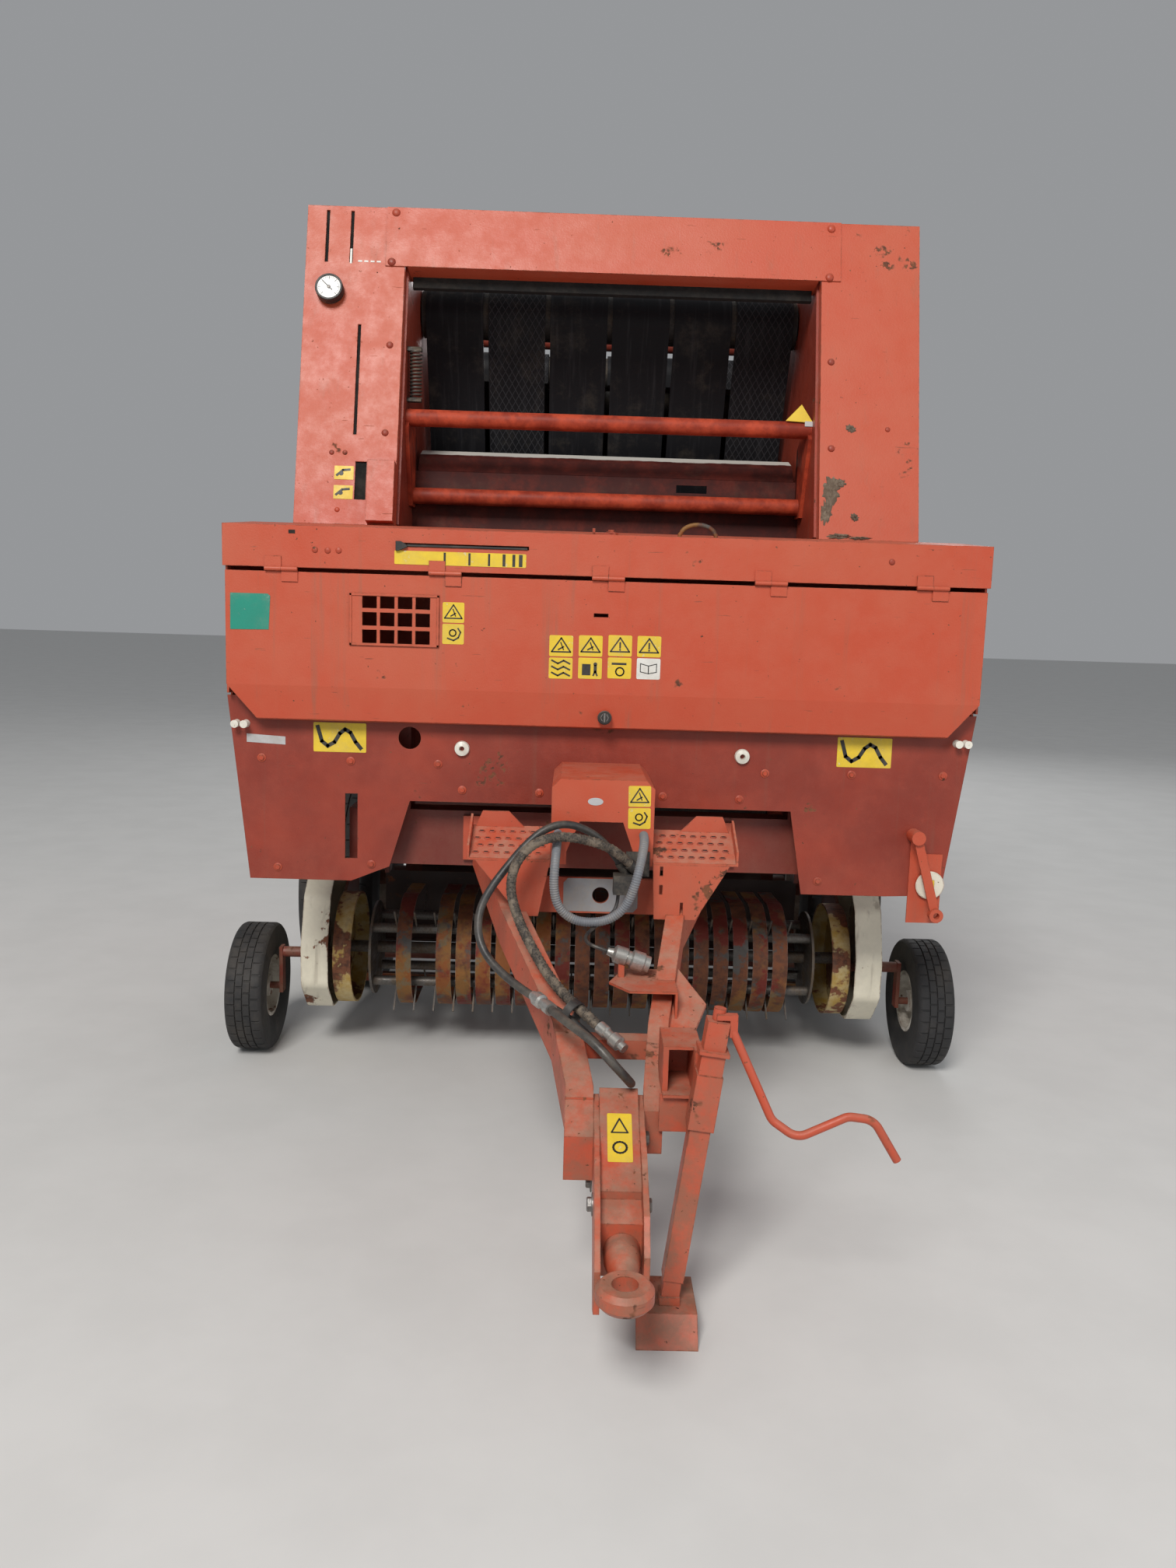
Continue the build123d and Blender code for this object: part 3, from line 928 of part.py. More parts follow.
# Pickup bands: bent strips round the front of the reel, joined by the frame tube at their lower ends
band_starts = [(i - (BAND_COUNT - 1) / 2) * BAND_PITCH - BAND_WIDE / 2 for i in range(BAND_COUNT)]
MISSING_BANDS = (0, 2, 21)
with BuildPart() as pickup_bands:
    for index, x_low in enumerate(band_starts):
        if index in MISSING_BANDS:
            continue
        with BuildSketch(Plane.YZ.offset(x_low)) as ribbon:
            with BuildLine():
                arc = CenterArc((REEL_Y, REEL_Z), BAND_R - BAND_SHEET / 2, 80, 200)
                Line(arc @ 1, (REEL_Y + 225, REEL_Z - BAND_R + BAND_SHEET / 2))
                Line(arc @ 0, (REEL_Y + 200, REEL_Z + BAND_R - 10))
            trace(line_width=BAND_SHEET)
        extrude(ribbon.sketch, amount=BAND_WIDE)
    rail_z = REEL_Z - BAND_R + BAND_SHEET / 2
    block((-PICKUP_PLATE_X + FIT, REEL_Y + 200, rail_z), (PICKUP_PLATE_X - FIT, REEL_Y + 225, rail_z + 30))
finish(pickup_bands, "pickup_bands")

SHIELD_WIDE = 88.0
DRUM_WIDE = 60.0
PICKUP_SHIELD = [(-20, 165), (150, 155), (330, 280), (340, 470), (200, 640), (40, 660), (-70, 560), (-125, 400),
                 (-120, 270)]
# Pickup shields: the white covers at the ends of the reel, each with a drum inside it and a pointed fold above
with BuildPart() as pickup_shields:
    for _, side in SIDES:
        shield_in = PICKUP_PLATE_X + 10 + FIT
        pan(PICKUP_SHIELD, shield_in, shield_in + SHIELD_WIDE, 4, side, radius=50)
        hole_ends = sorted((side * shield_in, side * (shield_in + SHIELD_WIDE + 10)))
        cross_rod(GAUGE_Y, GAUGE_R + 120, 18 + FIT, *hole_ends, mode=Mode.SUBTRACT)
        for reach_in, radius, mode in ((DRUM_WIDE, BAND_R, Mode.ADD), (DRUM_WIDE + 1, BAND_R - 6, Mode.SUBTRACT)):
            drum_ends = sorted((side * (PICKUP_PLATE_X - reach_in), side * (PICKUP_PLATE_X - (FIT if mode == Mode.ADD
                                                                                          else 6))))
            cross_rod(REEL_Y, REEL_Z, radius, *drum_ends, mode=mode)
        cross_rod(REEL_Y, REEL_Z, 22, *sorted((side * (PICKUP_PLATE_X - 10), side * PICKUP_PLATE_X)),
                  mode=Mode.SUBTRACT)
finish(pickup_shields, "pickup_shields")

# Pickup reel: shaft, end discs, bars and sprung tines
with BuildPart() as pickup_reel:
    cross_rod(REEL_Y, REEL_Z, 20, -PICKUP_PLATE_X - 8, PICKUP_PLATE_X + 8)
    for _, side in SIDES:
        ends = sorted((side * 740, side * 748))
        cross_rod(REEL_Y, REEL_Z, 160, *ends)
    for bar in range(BAR_COUNT):
        angle = math.radians(45 + 360 / BAR_COUNT * bar)
        bar_y = REEL_Y + BAR_CIRCLE_R * math.cos(angle)
        bar_z = REEL_Z + BAR_CIRCLE_R * math.sin(angle)
        tip_y = REEL_Y + TINE_R * math.cos(angle)
        tip_z = REEL_Z + TINE_R * math.sin(angle)
        cross_rod(bar_y, bar_z, BAR_R, -745, 745)
        for x_low in band_starts[:-1]:
            x = x_low + BAND_WIDE + (BAND_PITCH - BAND_WIDE) / 2
            beam((x, bar_y, bar_z), (x, tip_y, tip_z), TINE_WIRE, TINE_WIRE)
finish(pickup_reel, "pickup_reel")


def wheel_section(radius, wide, rim, crown):
    """Draw half of a tyre's section, in distance from the axle and along it."""
    return [(rim, -wide * 0.38), (radius * 0.72, -wide / 2), (radius - crown, -wide * 0.46), (radius, -wide * 0.36),
            (radius, wide * 0.36), (radius - crown, wide * 0.46), (radius * 0.72, wide / 2), (rim, wide * 0.38)]


def tyre(name, x, y, radius, wide, rim, crown):
    """Make one tyre by turning its section round the wheel's axis."""
    with BuildPart() as ring:
        with BuildSketch(Plane(origin=(x, y, radius), x_dir=(0, 1, 0), z_dir=(0, 0, 1))) as section:
            with BuildLine():
                Polyline(*[(r, -a) for r, a in wheel_section(radius, wide, rim, crown)], close=True)
            make_face()
        revolve(section.sketch, axis=Axis((x, y, radius), (1, 0, 0)), revolution_arc=360)
    finish(ring, name)


def rim(name, x, y, radius, wide, rim_r, bore, side):
    """Make one rim: a barrel that fits the tyre and a dished disc with its hub."""
    with BuildPart() as disc:
        ends = sorted((x - wide * 0.38, x + wide * 0.38))
        cross_rod(y, radius, rim_r - FIT, *ends)
        cross_rod(y, radius, rim_r - 12, x - wide, x + wide, mode=Mode.SUBTRACT)
        cross_rod(y, radius, rim_r - 6, *sorted((x + side * 5, x + side * 15)))
        cross_rod(y, radius, bore + 25, *sorted((x - side * 40, x + side * 45)))
        cross_rod(y, radius, bore + FIT, *sorted((x - side * 60, x + side * (STUB_PAST + 2))), mode=Mode.SUBTRACT)
    finish(disc, name)


for name, side in SIDES:
    tyre(f"main_tyre_{name}", side * WHEEL_X, AXLE_Y, WHEEL_R, WHEEL_WIDE, RIM_R, 18)
    rim(f"main_rim_{name}", side * WHEEL_X, AXLE_Y, WHEEL_R, WHEEL_WIDE, RIM_R, 30, side)
    tyre(f"gauge_tyre_{name}", side * GAUGE_X, GAUGE_Y, GAUGE_R, GAUGE_WIDE, 105, 10)
    rim(f"gauge_rim_{name}", side * GAUGE_X, GAUGE_Y, GAUGE_R, GAUGE_WIDE, 105, 12, side)
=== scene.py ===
import math

import bpy
from mathutils import Matrix, Vector


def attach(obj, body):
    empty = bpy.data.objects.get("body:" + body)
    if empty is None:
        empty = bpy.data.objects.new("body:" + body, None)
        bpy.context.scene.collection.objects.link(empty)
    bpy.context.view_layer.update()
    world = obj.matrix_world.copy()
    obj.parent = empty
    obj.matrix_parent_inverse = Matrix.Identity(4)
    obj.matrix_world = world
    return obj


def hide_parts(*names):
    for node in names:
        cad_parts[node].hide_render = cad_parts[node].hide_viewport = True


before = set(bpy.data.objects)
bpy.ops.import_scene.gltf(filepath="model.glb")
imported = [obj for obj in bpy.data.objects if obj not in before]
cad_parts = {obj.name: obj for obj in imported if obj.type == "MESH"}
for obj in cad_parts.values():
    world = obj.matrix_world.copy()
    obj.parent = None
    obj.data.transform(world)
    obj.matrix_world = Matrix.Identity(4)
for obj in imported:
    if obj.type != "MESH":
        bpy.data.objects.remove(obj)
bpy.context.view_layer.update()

# Colours, as linear red, green and blue
RED = (0.46, 0.062, 0.024)
RED_FADED = (0.46, 0.088, 0.041)
# Deep red that paints shade on the apron, the chamber walls and the net unit's tubes, and the darker tone of
# the dark and bolt enamels
RED_DEEP_PAINTED_SHADE = (0.205, 0.023, 0.0105)
RED_SHADE = (0.15, 0.02, 0.012)
CREAM = (0.66, 0.62, 0.5)
YELLOW = (0.62, 0.36, 0.045)
RUST = (0.075, 0.026, 0.014)
RUST_LIGHT = (0.19, 0.066, 0.028)
DUST = (0.33, 0.27, 0.2)
MUD = (0.16, 0.115, 0.075)
STEEL = (0.3, 0.29, 0.27)
STEEL_DARK = (0.075, 0.07, 0.065)
WORN_BARE = (0.52, 0.5, 0.46)
RUBBER = (0.015, 0.015, 0.016)
LENS_RED = (0.42, 0.012, 0.01)


def shade(colour, share):
    """A colour made darker or lighter."""
    return tuple(share * c for c in colour)


class Net:
    """Adds shader nodes to one material and joins them."""

    def __init__(self, name):
        self.material = bpy.data.materials.new(name)
        self.material.use_nodes = True
        self.tree = self.material.node_tree
        self.tree.nodes.clear()
        self.shader = self.node("BsdfPrincipled")
        self.node("OutputMaterial", Surface=self.shader.outputs["BSDF"])
        self.place = self.node("TexCoord").outputs["Object"]
        self.normal = self.node("NewGeometry").outputs["Normal"]

    def put(self, value, socket):
        """Join a socket to an input, or set the input to a plain value."""
        if isinstance(value, bpy.types.NodeSocket):
            self.tree.links.new(value, socket)
        elif socket.type == "RGBA":
            socket.default_value = (*value, 1)
        else:
            socket.default_value = value

    def node(self, kind, **inputs):
        """Add a node with some of its inputs, named with _ for each space."""
        node = self.tree.nodes.new(f"ShaderNode{kind}")
        for name, value in inputs.items():
            self.put(value, node.inputs[name.replace("_", " ")])
        return node

    def noise(self, scale, detail, rough, place=None):
        place = place or self.place
        return self.node("TexNoise", Scale=scale, Detail=detail, Roughness=rough, Vector=place).outputs["Fac"]

    def stretched(self, x, y, z, detail, rough):
        """Noise with its own scale along each axis."""
        node = self.node("Mapping", Scale=(x, y, z), Vector=self.place)
        return self.noise(1, detail, rough, node.outputs["Vector"])

    def step(self, value, low, high, out_low=0, out_high=1):
        """Map a range of values onto another, held at its ends."""
        node = self.node("MapRange", Value=value, From_Min=low, From_Max=high, To_Min=out_low,
                         To_Max=out_high)
        node.interpolation_type = "SMOOTHSTEP"
        return node.outputs["Result"]

    def spots(self, low, high, *noise):
        """A mask of the patches where a noise is high."""
        return self.step(self.noise(*noise), low, high)

    def calc(self, operation, first, second=0):
        node = self.node("Math")
        node.operation = operation
        self.put(first, node.inputs[0])
        self.put(second, node.inputs[1])
        return node.outputs["Value"]

    def times(self, first, second):
        return self.calc("MULTIPLY", first, second)

    def plus(self, first, second):
        return self.calc("ADD", first, second)

    def most(self, first, second):
        return self.calc("MAXIMUM", first, second)

    def axis(self, vector, letter):
        return self.node("SeparateXYZ", Vector=vector).outputs[letter]

    def mix(self, share, first, second):
        """Blend two colours."""
        node = self.node("Mix")
        node.data_type = "RGBA"
        self.put(share, node.inputs["Factor"])
        self.put(first, node.inputs[6])
        self.put(second, node.inputs[7])
        return node.outputs[2]

    def stain(self, tone, colour, mask, share=1):
        """Lay a colour over a tone where a mask is high."""
        return self.mix(self.times(mask, share), tone, colour)

    def rust_tone(self, scale):
        return self.mix(self.spots(0.35, 0.65, scale, 4, 0.7), RUST, RUST_LIGHT)

    def edges(self, width):
        """A mask that is high along the edges of the object."""
        bevel = self.node("Bevel", Radius=width)
        bevel.samples = 4
        dot = self.node("VectorMath")
        dot.operation = "DOT_PRODUCT"
        self.put(bevel.outputs["Normal"], dot.inputs[0])
        self.put(self.normal, dot.inputs[1])
        return self.step(dot.outputs["Value"], 0.995, 0.86)

    def bump(self, height, distance, strength, under=None):
        node = self.node("Bump", Height=height, Distance=distance, Strength=strength)
        if under:
            self.put(under, node.inputs["Normal"])
        return node.outputs["Normal"]

    def finish(self, colour, rough, metal=0, normal=None, specular=0.5):
        inputs = self.shader.inputs
        self.put(colour, inputs["Base Color"])
        self.put(rough, inputs["Roughness"])
        inputs["Metallic"].default_value = metal
        inputs["Specular IOR Level"].default_value = specular
        if normal:
            self.put(normal, inputs["Normal"])
        return self.material


def paint(name, colour, faded, chips=0.5, dirt=0.4, streaks=0.5, edge_wear=0.7):
    """Old sheet-metal enamel: bleached patches, streaks under rain, chips to the metal and dust."""
    net = Net(name)
    mottle = net.noise(14, 6, 0.7)
    tone = net.mix(net.spots(0.36, 0.66, 1.3, 5, 0.65), colour, faded)
    tone = net.stain(tone, faded, net.step(mottle, 0.45, 0.75), 0.35)
    up = net.step(net.axis(net.normal, "Z"), 0.25, 0.95)
    dust = net.plus(net.times(up, 0.55), 0.1 * dirt)
    dust = net.times(net.spots(0.3, 0.7, 9, 6, 0.75), dust)
    tone = net.stain(tone, DUST, dust, dirt)
    rain = net.stretched(24, 24, 0.9, 4, 0.6)
    tone = net.stain(tone, MUD, net.step(rain, 0.56, 0.78), 0.42 * streaks)
    rain = net.stretched(37, 37, 1.7, 3, 0.5)
    tone = net.stain(tone, faded, net.step(rain, 0.6, 0.8), 0.3 * streaks)
    low = net.step(net.axis(net.place, "Z"), 0.95, 0.15)
    tone = net.stain(tone, MUD, net.times(low, net.step(mottle, 0.38, 0.62)), 0.65 * dirt)
    speck = net.spots(0.735 - 0.05 * chips, 0.76 - 0.05 * chips, 75, 3, 0.6)
    patch = net.spots(0.7 - 0.08 * chips, 0.74 - 0.08 * chips, 7, 4, 0.65)
    patch = net.times(patch, net.spots(0.46, 0.52, 60, 3, 0.6))
    worn = net.times(net.edges(0.004), net.spots(0.5 - 0.12 * edge_wear, 0.62, 38, 5, 0.7))
    scratch = net.step(net.stretched(11, 11, 150, 2, 0.5), 0.745, 0.76)
    bare = net.most(net.most(speck, worn), net.most(patch, net.times(scratch, 0.5)))
    tone = net.mix(bare, tone, net.rust_tone(48))
    rough = net.plus(net.times(net.most(bare, dust), 0.34), net.step(mottle, 0.3, 0.7, 0.4, 0.55))
    dents = net.bump(net.noise(2.3, 2, 0.4), 0.02, 0.35)
    peel = net.calc("SUBTRACT", net.noise(190, 2, 0.5), net.times(bare, 0.8))
    return net.finish(tone, rough, 0, net.bump(peel, 0.0006, 0.6, dents))


def rusty(name, colour, yellow):
    """Steel that has lost its paint, with what is left of it in patches."""
    net = Net(name)
    grain = net.noise(30, 6, 0.72)
    tone = net.mix(net.step(grain, 0.32, 0.66), RUST, RUST_LIGHT)
    tone = net.stain(tone, STEEL_DARK, net.spots(0.52, 0.6, 8, 5, 0.7))
    tone = net.stain(tone, colour, net.spots(0.52, 0.56, 6, 5, 0.66))
    tone = net.stain(tone, YELLOW, net.spots(0.48, 0.56, 3.4, 5, 0.7), yellow)
    worn = net.times(net.edges(0.003), net.step(grain, 0.4, 0.6))
    tone = net.stain(tone, STEEL, worn, 0.7)
    rough = net.step(grain, 0.3, 0.7, 0.52, 0.85)
    return net.finish(tone, rough, 0.25, net.bump(grain, 0.0016, 0.7))


def steel(name, colour, rough, grime, metal):
    """Bare or oily steel with fine scratches and dust."""
    net = Net(name)
    brushed = net.stretched(160, 18, 160, 3, 0.6)
    tone = net.mix(net.step(brushed, 0.3, 0.7), colour, shade(colour, 0.72))
    dull = net.times(net.spots(0.42, 0.66, 11, 6, 0.7), grime)
    tone = net.mix(dull, tone, MUD)
    rough = net.plus(net.times(dull, 0.35), net.step(brushed, 0.3, 0.7, rough - 0.06, rough + 0.1))
    return net.finish(tone, rough, metal, net.bump(brushed, 0.0004, 0.5))


def drums(name, split):
    """Cream enamel on the outer shields and worn yellow on the drums inside them."""
    net = Net(name)
    mottle, grain = net.noise(16, 6, 0.7), net.noise(5.5, 5, 0.68)
    cream = net.mix(net.step(mottle, 0.35, 0.7), CREAM, shade(CREAM, 1.12))
    inside = net.step(net.calc("ABSOLUTE", net.axis(net.place, "X")), split + 0.001, split - 0.001)
    yellow = net.mix(net.step(mottle, 0.35, 0.65), (0.4, 0.25, 0.045), (0.5, 0.4, 0.2))
    tone = net.mix(inside, cream, yellow)
    lost = net.plus(net.step(grain, 0.6, 0.63), net.times(inside, net.step(grain, 0.5, 0.55)))
    rim = net.times(net.edges(0.006), net.spots(0.4, 0.55, 26, 5, 0.7))
    lost = net.calc("MINIMUM", net.most(lost, rim), 1)
    tone = net.mix(lost, tone, net.rust_tone(44))
    streak = net.step(net.stretched(26, 26, 2.2, 4, 0.6), 0.54, 0.74)
    tone = net.stain(tone, MUD, streak, 0.45)
    rough = net.plus(net.step(mottle, 0.3, 0.7, 0.42, 0.6), net.times(lost, 0.25))
    return net.finish(tone, rough, 0, net.bump(net.calc("SUBTRACT", mottle, lost), 0.001, 0.6))


def shaded_sheet(name, split):
    """Red tubes in front of a near-black sheet, both darkened as painted shade, with the sheet worn to bare
    metal along its upper bend.
    """
    net = Net(name)
    y, z = net.axis(net.place, "Y"), net.axis(net.place, "Z")
    mottle = net.noise(12, 6, 0.7)
    tubes = net.mix(net.step(mottle, 0.35, 0.7), RED_DEEP_PAINTED_SHADE, RED)
    # The sheet's near-black is painted shade
    sheet = net.mix(net.step(mottle, 0.4, 0.72), (0.05, 0.008, 0.006), (0.12, 0.018, 0.011))
    tone = net.mix(net.step(y, split - 0.001, split + 0.001), tubes, sheet)
    tone = net.stain(tone, MUD, net.spots(0.5, 0.75, 9, 6, 0.75), 0.15)
    ragged = net.times(net.stretched(9, 4, 4, 4, 0.6), 0.016)
    crease = net.times(net.step(net.plus(z, ragged), 2.027, 2.031), net.step(y, 0.08, 0.09))
    tone = net.mix(crease, tone, WORN_BARE)
    return net.finish(tone, net.step(mottle, 0.3, 0.7, 0.5, 0.65), 0, net.bump(mottle, 0.001, 0.4), 0.25)


def belting(name, patterned, pitch, half_wide):
    """Woven rubber belting, with a raised diamond pattern on the belts whose middles are given."""
    net = Net(name)
    x, z = net.axis(net.place, "X"), net.axis(net.place, "Z")
    ridges = 0
    for second in (z, net.times(z, -1)):
        run = net.plus(net.times(x, 1.6), second)
        ridge = net.step(net.calc("PINGPONG", run, pitch), 0.22 * pitch, 0.08 * pitch)
        ridges = net.most(ridge, ridges)
    there = 0
    for middle in patterned:
        off = net.calc("ABSOLUTE", net.calc("SUBTRACT", x, middle))
        there = net.most(net.step(off, half_wide, half_wide - 0.004), there)
    ridges = net.times(ridges, there)
    scuffs = net.step(net.stretched(60, 4, 4, 4, 0.6), 0.5, 0.75)
    tone = net.mix(scuffs, (0.008, 0.008, 0.01), (0.02, 0.02, 0.023))
    tone = net.stain(tone, (0.045, 0.045, 0.05), ridges, 0.75)
    tone = net.stain(tone, DUST, net.spots(0.5, 0.72, 7, 6, 0.75), 0.08)
    weave = net.bump(net.noise(260, 4, 0.6), 0.0006, 0.5)
    rough = net.step(scuffs, 0, 1, 0.6, 0.48)
    return net.finish(tone, rough, 0, net.bump(ridges, 0.002, 0.8, weave), 0.18)


def rubber(name, colour, dust, grain, rough):
    """Matt rubber with dust in its grain."""
    net = Net(name)
    mottle = net.noise(12, 6, 0.7)
    tone = net.mix(net.step(mottle, 0.3, 0.7), colour, shade(colour, 1.7))
    tone = net.stain(tone, DUST, net.spots(0.4, 0.72, 5, 6, 0.75), dust)
    rough = net.step(mottle, 0.3, 0.7, rough - 0.08, rough + 0.14)
    return net.finish(tone, rough, 0, net.bump(net.noise(grain, 4, 0.6), 0.0008, 0.5))


def plain(name, colour, rough=0.5, grime=0.3, wear=None, scale=20):
    """A printed or moulded surface with dust, fading and small scuffs."""
    net = Net(name)
    mottle = net.noise(scale, 6, 0.7)
    tone = net.mix(net.step(mottle, 0.3, 0.7), colour, shade(colour, 0.86))
    tone = net.stain(tone, DUST, net.spots(0.42, 0.7, scale * 0.6, 6, 0.75), grime)
    if wear:
        tone = net.stain(tone, wear, net.spots(0.64, 0.67, scale * 4, 4, 0.7))
    rough = net.step(mottle, 0.3, 0.7, rough, rough + 0.15)
    return net.finish(tone, rough, 0, net.bump(net.noise(scale * 12, 2, 0.5), 0.0003, 0.5))


BELT_PITCH = 0.207
PATTERNED_BELTS = (-1.5 * BELT_PITCH, 2.5 * BELT_PITCH)
MATERIALS = {
    "red": paint("red_enamel", RED, RED_FADED),
    "red_door": paint("red_enamel_door", RED, RED_FADED, chips=0.35, streaks=0.9, dirt=0.3),
    # Apron and chamber walls: red darkened as painted shade
    "red_painted_shade": paint("red_enamel_painted_shade", RED_DEEP_PAINTED_SHADE, (0.33, 0.042, 0.018), chips=0.6, dirt=0.5),
    "red_dark": paint("red_enamel_dark", RED_SHADE, RED_DEEP_PAINTED_SHADE, chips=0.7, dirt=0.8),
    "red_frame": paint("red_enamel_frame", RED, RED_FADED, chips=1, dirt=0.9, edge_wear=1),
    "cream": paint("cream_enamel", CREAM, (0.78, 0.75, 0.66), chips=1.25, dirt=0.7, edge_wear=1),
    "wheel": paint("wheel_enamel", (0.62, 0.6, 0.54), (0.74, 0.72, 0.66), chips=0.9, dirt=0.9),
    "bands": rusty("rusty_bands", RED_SHADE, 0.16),
    "drums": drums("cream_shields_and_drums", 0.868),
    "net_unit": shaded_sheet("net_unit_paint", 0.036),
    "crank": paint("red_enamel_crank", (0.46, 0.075, 0.036), RED, chips=0.8, dirt=0.4, edge_wear=1),
    "red_bolt": paint("red_enamel_bolts", RED, RED_DEEP_PAINTED_SHADE, chips=1.1, dirt=0.5, edge_wear=1),
    # Near-black enamel on the crop pan, as painted shade behind the pickup
    "pan": paint("crop_pan_painted_shade", (0.022, 0.01, 0.008), (0.04, 0.014, 0.01), 0.8, 0.12, 0.2),
    "bolt": steel("bolt_steel", (0.26, 0.25, 0.24), 0.45, 0.6, 0.7),
    "plug": steel("plated_plug", (0.52, 0.52, 0.5), 0.32, 0.35, 0.8),
    "steel": steel("worn_steel", (0.15, 0.14, 0.13), 0.45, 0.75, 0.7),
    "dark_steel": steel("oily_steel", STEEL_DARK, 0.5, 0.7, 0.6),
    # Roller steel made rough and very dark, the darkness painting the shade inside the chamber
    "rollers": steel("roller_steel_painted_shade", (0.03, 0.028, 0.027), 0.66, 0.35, 0.25),
    "chrome": steel("rod_chrome", (0.66, 0.66, 0.67), 0.12, 0.12, 1),
    "belting": belting("belting", PATTERNED_BELTS, 0.018, 0.095),
    "tyre": rubber("tyre_rubber", RUBBER, 0.1, 70, 0.74),
    "lens": rubber("lamp_lens", LENS_RED, 0.2, 40, 0.25),
    "hose": rubber("hose_skin", (0.016, 0.016, 0.017), 0.3, 160, 0.42),
    "black_plastic": plain("black_plastic", (0.016, 0.016, 0.017), 0.5, 0.25),
    "porcelain": plain("porcelain", (0.76, 0.74, 0.66), 0.25, 0.3, (0.42, 0.36, 0.27)),
    "conduit": plain("conduit_grey", (0.17, 0.18, 0.2), 0.45, 0.35, None, 30),
}
DRESS = {
    "red": "portal_left portal_right portal_beam twine_box pto_guard side_door_left side_door_right"
           " tailgate_wall_left tailgate_wall_right tailgate_shields feed_crank",
    "red_door": "front_door",
    # The apron and the chamber walls take the red darkened as painted shade
    "red_painted_shade": "apron chamber_wall_left chamber_wall_right",
    "net_unit": "net_unit",
    "red_dark": "chassis axle gearbox pickup_frame tailgate_beams",
    "red_frame": "steps drawbar hitch_clevis tow_eye jack_body jack_leg coupler_bracket",
    "crank": "jack_crank",
    "plug": "couplers",
    "drums": "pickup_shields",
    "wheel": "main_rim_left main_rim_right gauge_rim_left gauge_rim_right",
    "bands": "pickup_bands",
    "steel": "pickup_reel",
    "dark_steel": "cylinder_barrel_left cylinder_barrel_right chain_drive",
    "rollers": "front_rollers tailgate_rollers",
    "chrome": "cylinder_rod_left cylinder_rod_right",
    "belting": "front_belts tailgate_belts",
    "tyre": "main_tyre_left main_tyre_right gauge_tyre_left gauge_tyre_right",
    "lens": "rear_lamps",
    "black_plastic": "hose_block pressure_gauge",
    "porcelain": "twine_guides",
}
for key, names in DRESS.items():
    for name in names.split():
        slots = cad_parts[name].data.materials
        slots.clear()
        slots.append(MATERIALS[key])

STICKER_YELLOW = plain("sticker_yellow", (0.74, 0.52, 0.03), 0.42, 0.18, (0.6, 0.5, 0.25))
STICKER_BLACK = plain("sticker_black", (0.018, 0.018, 0.018), 0.45, 0.12)
STICKER_WHITE = plain("sticker_white", (0.7, 0.7, 0.66), 0.45, 0.3)
STICKER_GREEN = plain("sticker_green", (0.01, 0.24, 0.17), 0.42, 0.22, (0.1, 0.26, 0.2), 9)
STICKER_SILVER = plain("sticker_silver", (0.46, 0.46, 0.47), 0.34, 0.35)
GREY_PLASTIC = plain("grey_plastic", (0.3, 0.31, 0.33), 0.55, 0.45)
DIAL = plain("dial_white", (0.78, 0.78, 0.76), 0.3, 0.1)
# Black that paints the shade in slots, holes and gaps
HOLE_PAINTED_SHADE = plain("hole_painted_shade", (0.006, 0.006, 0.006), 0.9, 0.05)
DRIED_MUD = plain("dried_mud", (0.12, 0.088, 0.062), 0.9, 0.5, None, 60)
BOLT_STEEL = MATERIALS["bolt"]
RED_BOLT = MATERIALS["red_bolt"]


def inset(outline, amount):
    """Move each side of an anticlockwise outline inwards by an amount."""
    points = [Vector(p) for p in outline]
    moved = []
    for a, b, c in zip([points[-1], *points], points, [*points[1:], points[0]]):
        inwards = (b - a).normalized().orthogonal()
        between = inwards + (c - b).normalized().orthogonal()
        scale = amount / max(between.dot(inwards), 0.3) if between.length > 1e-6 else amount
        moved.append(b + between * scale)
    return moved


def anticlockwise(outline):
    """The outline with its points in anticlockwise order."""
    turn = sum(a[0] * b[1] - b[0] * a[1] for a, b in zip(outline, [*outline[1:], outline[0]]))
    return list(outline) if turn > 0 else list(reversed(outline))


def box_outline(x_low, x_high, y_low, y_high, corner=0):
    """A rectangle, with its corners rounded if a radius is given for that."""
    if not corner:
        return [(x_low, y_low), (x_high, y_low), (x_high, y_high), (x_low, y_high)]
    left, right, low, high = x_low + corner, x_high - corner, y_low + corner, y_high - corner
    points = []
    for cx, cy, start in ((right, low, -90), (right, high, 0), (left, high, 90), (left, low, 180)):
        for step in (0, 30, 60, 90):
            angle = math.radians(start + step)
            points.append((cx + corner * math.cos(angle), cy + corner * math.sin(angle)))
    return points


def spokes(count):
    """The cosine and sine of even steps round a circle."""
    angles = (2 * math.pi * k / count for k in range(count))
    return [(math.cos(angle), math.sin(angle)) for angle in angles]


def disc_outline(x, y, radius, count):
    return [(x + radius * c, y + radius * s) for c, s in spokes(count)]


def facing(origin, right, up):
    """A placing matrix whose X and Y lie in a surface and whose Z stands out of it."""
    right, up = Vector(right).normalized(), Vector(up).normalized()
    matrix = Matrix((right, up, right.cross(up))).transposed().to_4x4()
    matrix.translation = origin
    return matrix


def upright(x, y, z):
    """A placing matrix on a surface that faces the drawbar's end."""
    return facing((x, y, z), (1, 0, 0), (0, 0, 1))


def outward(side, x, y, z):
    """A placing matrix on a surface that faces out at one side."""
    return facing((x, y, z), (0, side, 0), (0, 0, 1))


def at(surface, x, y, out=0):
    """A placing matrix moved over a surface."""
    return surface @ Matrix.Translation((x, y, out))


def wrapped(columns, size, closed):
    """Faces of a skin that goes round through columns of points."""
    faces = []
    for i in range(columns):
        a, b = i * size, (i + 1) % columns * size
        ends = [(k, (k + 1) % size) for k in range(size if closed else size - 1)]
        faces += [(a + k, b + k, b + n, a + n) for k, n in ends]
    return faces


def linked(name, data):
    """Add an object to the scene for its data."""
    thing = bpy.data.objects.new(name, data)
    bpy.context.collection.objects.link(thing)
    return thing


